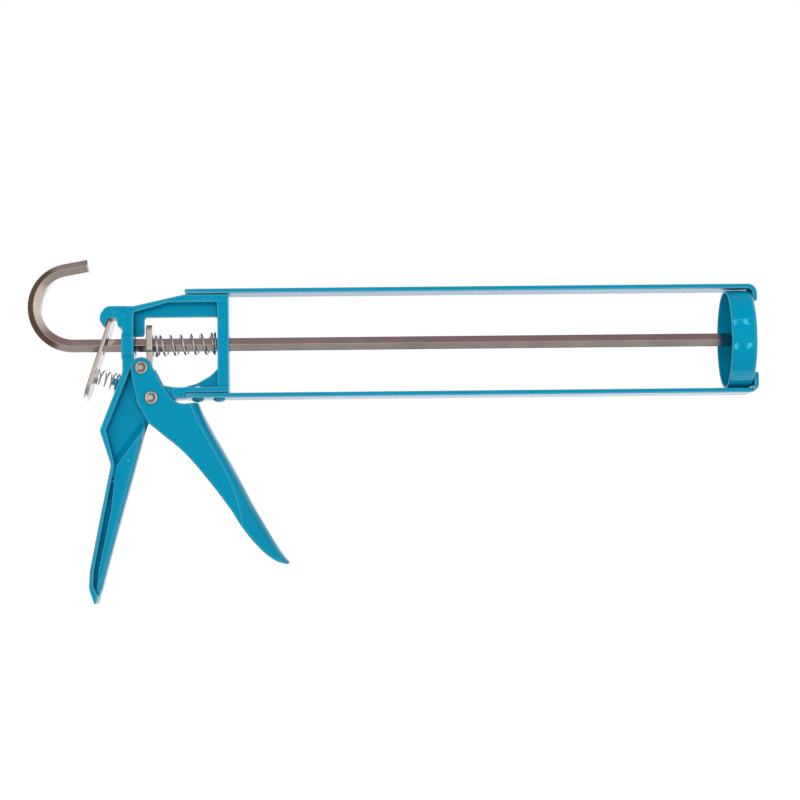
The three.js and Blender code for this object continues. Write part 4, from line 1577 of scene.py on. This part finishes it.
@dataclass
class Plunger:
    """The discs on the rod's end, the split washer and the nut that holds them."""

    neck: float = 3.3
    backing_radius: float = 15.0
    backing_rear: float = 271.9
    backing_thick: float = 1.3
    plate_radius: float = 23.0
    plate_rear: float = 273.5
    plate_sheet: float = 0.55
    plate_front: float = 279.0
    washer_radius: float = 5.3
    washer_rear: float = 274.8
    washer_thick: float = 1.1
    nut_flats: float = 10.0
    nut_rear: float = 276.2
    nut_thick: float = 3.2

    def disc(self) -> Surface:
        """The thin disc: flat in the middle, a pressed ring, then a rim dished forward.

        Returns:
            The closed disc.
        """
        r = np.array([self.neck, 6, 10, 11.2, 12.4, 13.6, 16, 19, 20, 21, 22, 22.7, 23.0])
        x = np.array([0, 0, 0, 0.18, 0.45, 0.5, 0.5, 0.5, 0.72, 1.1, 1.55, 1.9, 2.1])
        fine = smooth_through(np.stack([r, x], -1), 5)
        rear = fine + [0, self.plate_rear]
        front = fine + [0, self.plate_rear + self.plate_sheet]
        front = np.clip(front, None, [self.plate_radius - 0.1, self.plate_front])
        return turned(np.concatenate([rear, front[::-1]]), ALONG, np.zeros(3), 144)

    def split_washer(self) -> Surface:
        """A flat ring cut through once, one end of the cut raised above the other.

        Returns:
            The closed washer.
        """
        a = np.linspace(math.radians(8), math.radians(352), 90)
        lift = (a / TAU - 0.5) * 0.25
        middle, half = (self.neck + self.washer_radius) / 2, (self.washer_radius - self.neck) / 2
        path = np.stack([self.washer_rear + self.washer_thick / 2 + lift,
                         middle * np.cos(a), middle * np.sin(a)], -1)
        normal = np.stack([np.zeros_like(a), np.cos(a), np.sin(a)], -1)
        high = self.washer_thick / 2 - 0.13
        section = round_corners([(-half, -high, 0.15), (half, -high, 0.15), (half, high, 0.15),
                                 (-half, high, 0.15)], 3)
        return carried(section, path, normal, np.tile(ALONG, (len(a), 1)))

    def nut(self) -> Surface:
        """A hexagon nut with eased edges.

        Returns:
            The closed nut.
        """
        corners = hexagon_corners(self.nut_flats, 0.3)
        centre = np.array([self.nut_rear + self.nut_thick / 2, 0, 0])
        return Plate(round_corners(corners, 4), self.nut_thick, self.neck - 0.2, 0.5).surface(
            centre, ACROSS, UP)

    def build(self, finishes: Finishes) -> None:
        """Builds the four pieces.

        Args:
            finishes: The gun's finishes.
        """
        backing = Plate(arc(self.backing_radius, 0, 357, 119), self.backing_thick, self.neck, 0.35)
        centre = np.array([self.backing_rear + self.backing_thick / 2, 0, 0])
        for piece, body, node in (
            (backing.surface(centre, ACROSS, UP).piece("plunger_backing_disc"),
             Body.PLUNGER, "plunger_backing"),
            (self.disc().piece("plunger_dished_disc", 50), Body.PLUNGER, "plunger_plate"),
            (self.split_washer().piece("plunger_split_washer"), Body.ROD, "plunger_lock_washer"),
            (self.nut().piece("plunger_hexagon_nut", 40), Body.ROD, "plunger_nut"),
        ):
            dress(piece, finishes.zinc, body, node)


# ------------------------------------------------------------------------------- studio


@dataclass(frozen=True)
class SoftBox:
    """A small lit box that the cup mirrors: its bearing in degrees, its size and its watts."""

    azimuth: float
    elevation: float
    size: Pair
    watts: float


@dataclass
class Studio:
    """A pale floor, soft light all round and the camera."""

    distance: float = 1.27756
    lens: float = 108.0
    sensor: float = 36.0
    azimuth: float = -1.2
    elevation: float = -4.5
    roll: float = -0.683
    aim: Triple = (0.13143, 0.0, -0.00175)
    floor_drop: float = 0.06
    floor_half: float = 30.0
    ambient: float = 0.5
    lamp_distance: float = 1.5
    cup_from_aim: Triple = (0.18, 0, 0.03)
    box_receiver: str = "front_cup_pressing"
    boxes: tuple[SoftBox, ...] = (
        *(SoftBox(azimuth, elevation, (0.055, 0.36), 1.3) for elevation in (36, -20)
          for azimuth in (4.6, 13.4)),
        SoftBox(40, 7, (0.05, 0.3), 0.45),
    )
    front_bearing: Pair = (-10, 0)
    front_size: Pair = (1.3, 1.0)
    front_watts: float = 10.5
    room_top: float = 4.0
    # The room's colour by the angle round the gun's length.
    room: tuple[tuple[float, Triple], ...] = (
        (-179, (1.0, 1.0, 1.1)), (-168, (1.1, 1.1, 1.2)), (-144, (2.3, 2.35, 2.5)),
        (-84, (2.3, 2.35, 2.5)), (-80, (0.6, 0.55, 0.53)), (-60, (0.48, 0.45, 0.43)),
        (-29, (0.5, 0.47, 0.44)), (-8, (0.92, 0.86, 0.78)), (12, (0.92, 0.86, 0.78)),
        (32, (0.5, 0.46, 0.44)), (46, (0.4, 0.3, 0.31)), (60, (0.34, 0.2, 0.25)),
        (90, (0.3, 0.22, 0.27)), (127, (0.26, 0.25, 0.3)), (131, (2.3, 2.35, 2.5)),
        (165, (1.5, 1.55, 1.7)), (179, (1.0, 1.0, 1.1)),
    )
    side_grey: Triple = (0.6, 0.58, 0.57)
    right_side: Triple = (1.25, 1.16, 1.02)
    left_side: Triple = (0.2, 0.13, 0.1)
    side_from: float = 0.42
    side_full: float = 0.56
    clip: Pair = (0.05, 200.0)
    floor_grey: float = 0.9
    floor_glow: float = 0.05
    floor_seen: float = 0.75

    def camera(self) -> None:
        """Places the camera on its bearing from the point it looks at."""
        a, e, r = (math.radians(v) for v in (self.azimuth, self.elevation, self.roll))
        back = Vector((math.sin(a) * math.cos(e), -math.cos(a) * math.cos(e), math.sin(e)))
        right = (-back).cross(Vector((0, 0, 1))).normalized()
        up = right.cross(-back)
        turned_right = right * math.cos(r) + up * math.sin(r)
        turned_up = up * math.cos(r) - right * math.sin(r)
        data = bpy.data.cameras.new("camera")
        data.lens, data.sensor_width = self.lens, self.sensor
        data.clip_start, data.clip_end = self.clip
        camera = bpy.data.objects.new("camera", data)
        turn = Matrix((turned_right, turned_up, back)).transposed().to_4x4()
        camera.matrix_world = Matrix.Translation(Vector(self.aim) + back * self.distance) @ turn
        bpy.context.scene.collection.objects.link(camera)
        bpy.context.scene.camera = camera

    def floor(self, lowest: float) -> None:
        """A wide pale floor a little below the gun.

        Args:
            lowest: The gun's lowest point.
        """
        z = lowest - self.floor_drop
        h = self.floor_half
        mesh = bpy.data.meshes.new("floor")
        mesh.from_pydata([(-h, -h, z), (h, -h, z), (h, h, z), (-h, h, z)], [], [(0, 1, 2, 3)])
        floor = bpy.data.objects.new("floor", mesh)
        material = bpy.data.materials.new("pale_floor")
        material.use_nodes = True
        shader = material.node_tree.nodes["Principled BSDF"]
        shader.inputs["Base Color"].default_value = (*[self.floor_grey] * 3, 1)
        shader.inputs["Roughness"].default_value = self.floor_grey
        shader.inputs["Specular IOR Level"].default_value = 0.0
        shader.inputs["Emission Color"].default_value = (1, 1, 1, 1)
        w = Wiring(material.node_tree)
        seen = w.node("LightPath").outputs["Is Camera Ray"]
        w.put(shader.inputs["Emission Strength"], w.spread(seen, 0, 1, self.floor_glow, self.floor_seen))
        mesh.materials.append(material)
        bpy.context.scene.collection.objects.link(floor)
        floor.visible_glossy = False
        floor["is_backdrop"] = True

    def lamp(self, name: str, target: Vector, bearing: Vector, size: Pair,
             watts: float, mirrored: bool) -> bpy.types.Object:
        """A soft rectangular lamp turned to its target.

        Args:
            name: The lamp's name.
            target: What it faces.
            bearing: Where it stands, from its target.
            size: Its width and height.
            watts: Its power.
            mirrored: Whether reflections show it.

        Returns:
            The lamp.
        """
        data = bpy.data.lights.new(name, "AREA")
        data.shape, data.size, data.size_y, data.energy = "RECTANGLE", *size, watts
        lamp = bpy.data.objects.new(name, data)
        lamp.visible_glossy = mirrored
        turn = bearing.to_track_quat("Z", "Y").to_matrix().to_4x4()
        lamp.matrix_world = Matrix.Translation(target + bearing) @ turn
        bpy.context.scene.collection.objects.link(lamp)
        return lamp

    def surroundings(self) -> None:
        """White to look at, softer as light, and in reflections a room.

        The room's brightness follows the angle round the gun's length, atan2(z, -y), from behind over
        the floor, the front and the ceiling to behind again; a strip stands on each side, where
        |x| is a little over a half.
        """
        world = bpy.data.worlds.new("studio")
        world.use_nodes = True
        bpy.context.scene.world = world
        w = Wiring(world.node_tree)
        parts = w.node("SeparateXYZ", None, Vector=w.node("TexCoord").outputs["Generated"]).outputs
        round_angle = w.maths("ARCTAN2", parts["Z"], w.maths("MULTIPLY", parts["Y"], -1.0))
        room = w.node("ValToRGB", None, Fac=w.spread(round_angle, -math.pi, math.pi, 0, 1))
        ramp = room.color_ramp
        for degrees, colour in self.room:
            ramp.elements.new((degrees + 180) / 360).color = (*(c / self.room_top for c in colour), 1)
        ramp.elements.remove(ramp.elements[0])
        ramp.elements.remove(ramp.elements[-1])
        near_side = w.spread(parts["X"], -0.2, 0.12, 0.4, 0.0)
        grey = (*(c / self.room_top for c in self.side_grey), 1)
        lit = w.blend(near_side, room.outputs[0], grey)
        for way, back, side in ((1, 0.8, self.right_side), (-1, 0.1, self.left_side)):
            front = w.spread(parts["Y"], 0.1, 0.8, 1, back)
            strip = w.spread(parts["X"], way * self.side_from, way * self.side_full, 0, 1)
            share = w.maths("MULTIPLY", strip, front)
            lit = w.blend(share, lit, (*(c / self.room_top for c in side), 1))
        mirror = w.node("Background", None, Color=lit, Strength=self.room_top).outputs[0]
        ground = world.node_tree.nodes["Background"]
        ground.inputs["Color"].default_value = (1, 1, 1, 1)
        rays = w.node("LightPath").outputs
        w.put(ground.inputs["Strength"], w.spread(rays["Is Camera Ray"], 0, 1, self.ambient, 1.0))
        mixed = w.node("MixShader", None, i0=rays["Is Glossy Ray"], i1=ground.outputs[0], i2=mirror)
        w.put(world.node_tree.nodes["World Output"].inputs["Surface"], mixed.outputs[0])

    def bearing(self, azimuth: float, elevation: float) -> Vector:
        """Where a lamp stands in front of what it lights, turned from straight ahead and raised.

        Args:
            azimuth: Degrees to the right.
            elevation: Degrees up.

        Returns:
            The place in metres, from what it lights.
        """
        a, e = math.radians(azimuth), math.radians(elevation)
        return self.lamp_distance * Vector(
            (math.sin(a) * math.cos(e), -math.cos(a) * math.cos(e), math.sin(e)))

    def build(self, lowest: float) -> None:
        """Builds the camera, the floor, the lamps and the surroundings.

        Args:
            lowest: The gun's lowest point.
        """
        self.camera()
        self.floor(lowest)
        self.surroundings()
        middle = Vector(self.aim)
        self.lamp("front_light", middle, self.bearing(*self.front_bearing), self.front_size,
                  self.front_watts, False)
        cup_only = bpy.data.collections.new("box_receivers")
        cup_only.objects.link(bpy.data.objects[self.box_receiver])
        cup = middle + Vector(self.cup_from_aim)
        for box in self.boxes:
            lamp = self.lamp("box", cup, self.bearing(box.azimuth, box.elevation), box.size, box.watts, True)
            lamp.light_linking.receiver_collection = cup_only
        view = bpy.context.scene.view_settings
        view.view_transform = "Standard"
        view.look = "None"


# ------------------------------------------------------------------------------- the gun


def main() -> None:
    """Builds the gun piece by piece, then the studio."""
    logging.basicConfig(level=logging.INFO, format="%(name)s %(message)s")
    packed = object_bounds()
    finishes = Finishes()
    for part in (
        CastBody(),
        Straps(),
        FrontCup(),
        Trigger(),
        Pin("trigger_pivot_tube", "trigger_pivot_pin", TRIGGER_PIVOT, Body.FRAME),
        Pin("drive_pin_tube", "drive_pin", DRIVE_PIN, Body.TRIGGER),
        Plates(),
        Spring("drive_spring_coil", "drive_spring", start=(-39.35, -0.65), end=(-6.95, 0.65),
               radius=5.85, wire=0.65, closed=1.25, closed_pitch=1.6, open_turns=5.25, phase=0.4,
               hand=1, joint="drive_plate_slide", keep=0.743),
        Spring("brake_spring_coil", "brake_spring", start=(-70.44, -16.6), end=(-59.41, -19.8),
               radius=4.65, wire=0.4, closed=0.9, closed_pitch=0.9, open_turns=3.2, phase=0.75,
               hand=-1, joint="brake_plate_press", keep=0.3),
        PushRod(),
        Plunger(),
    ):
        part.build(finishes)
    Studio().build(packed[0][2])


if __name__ == "__main__":
    main()
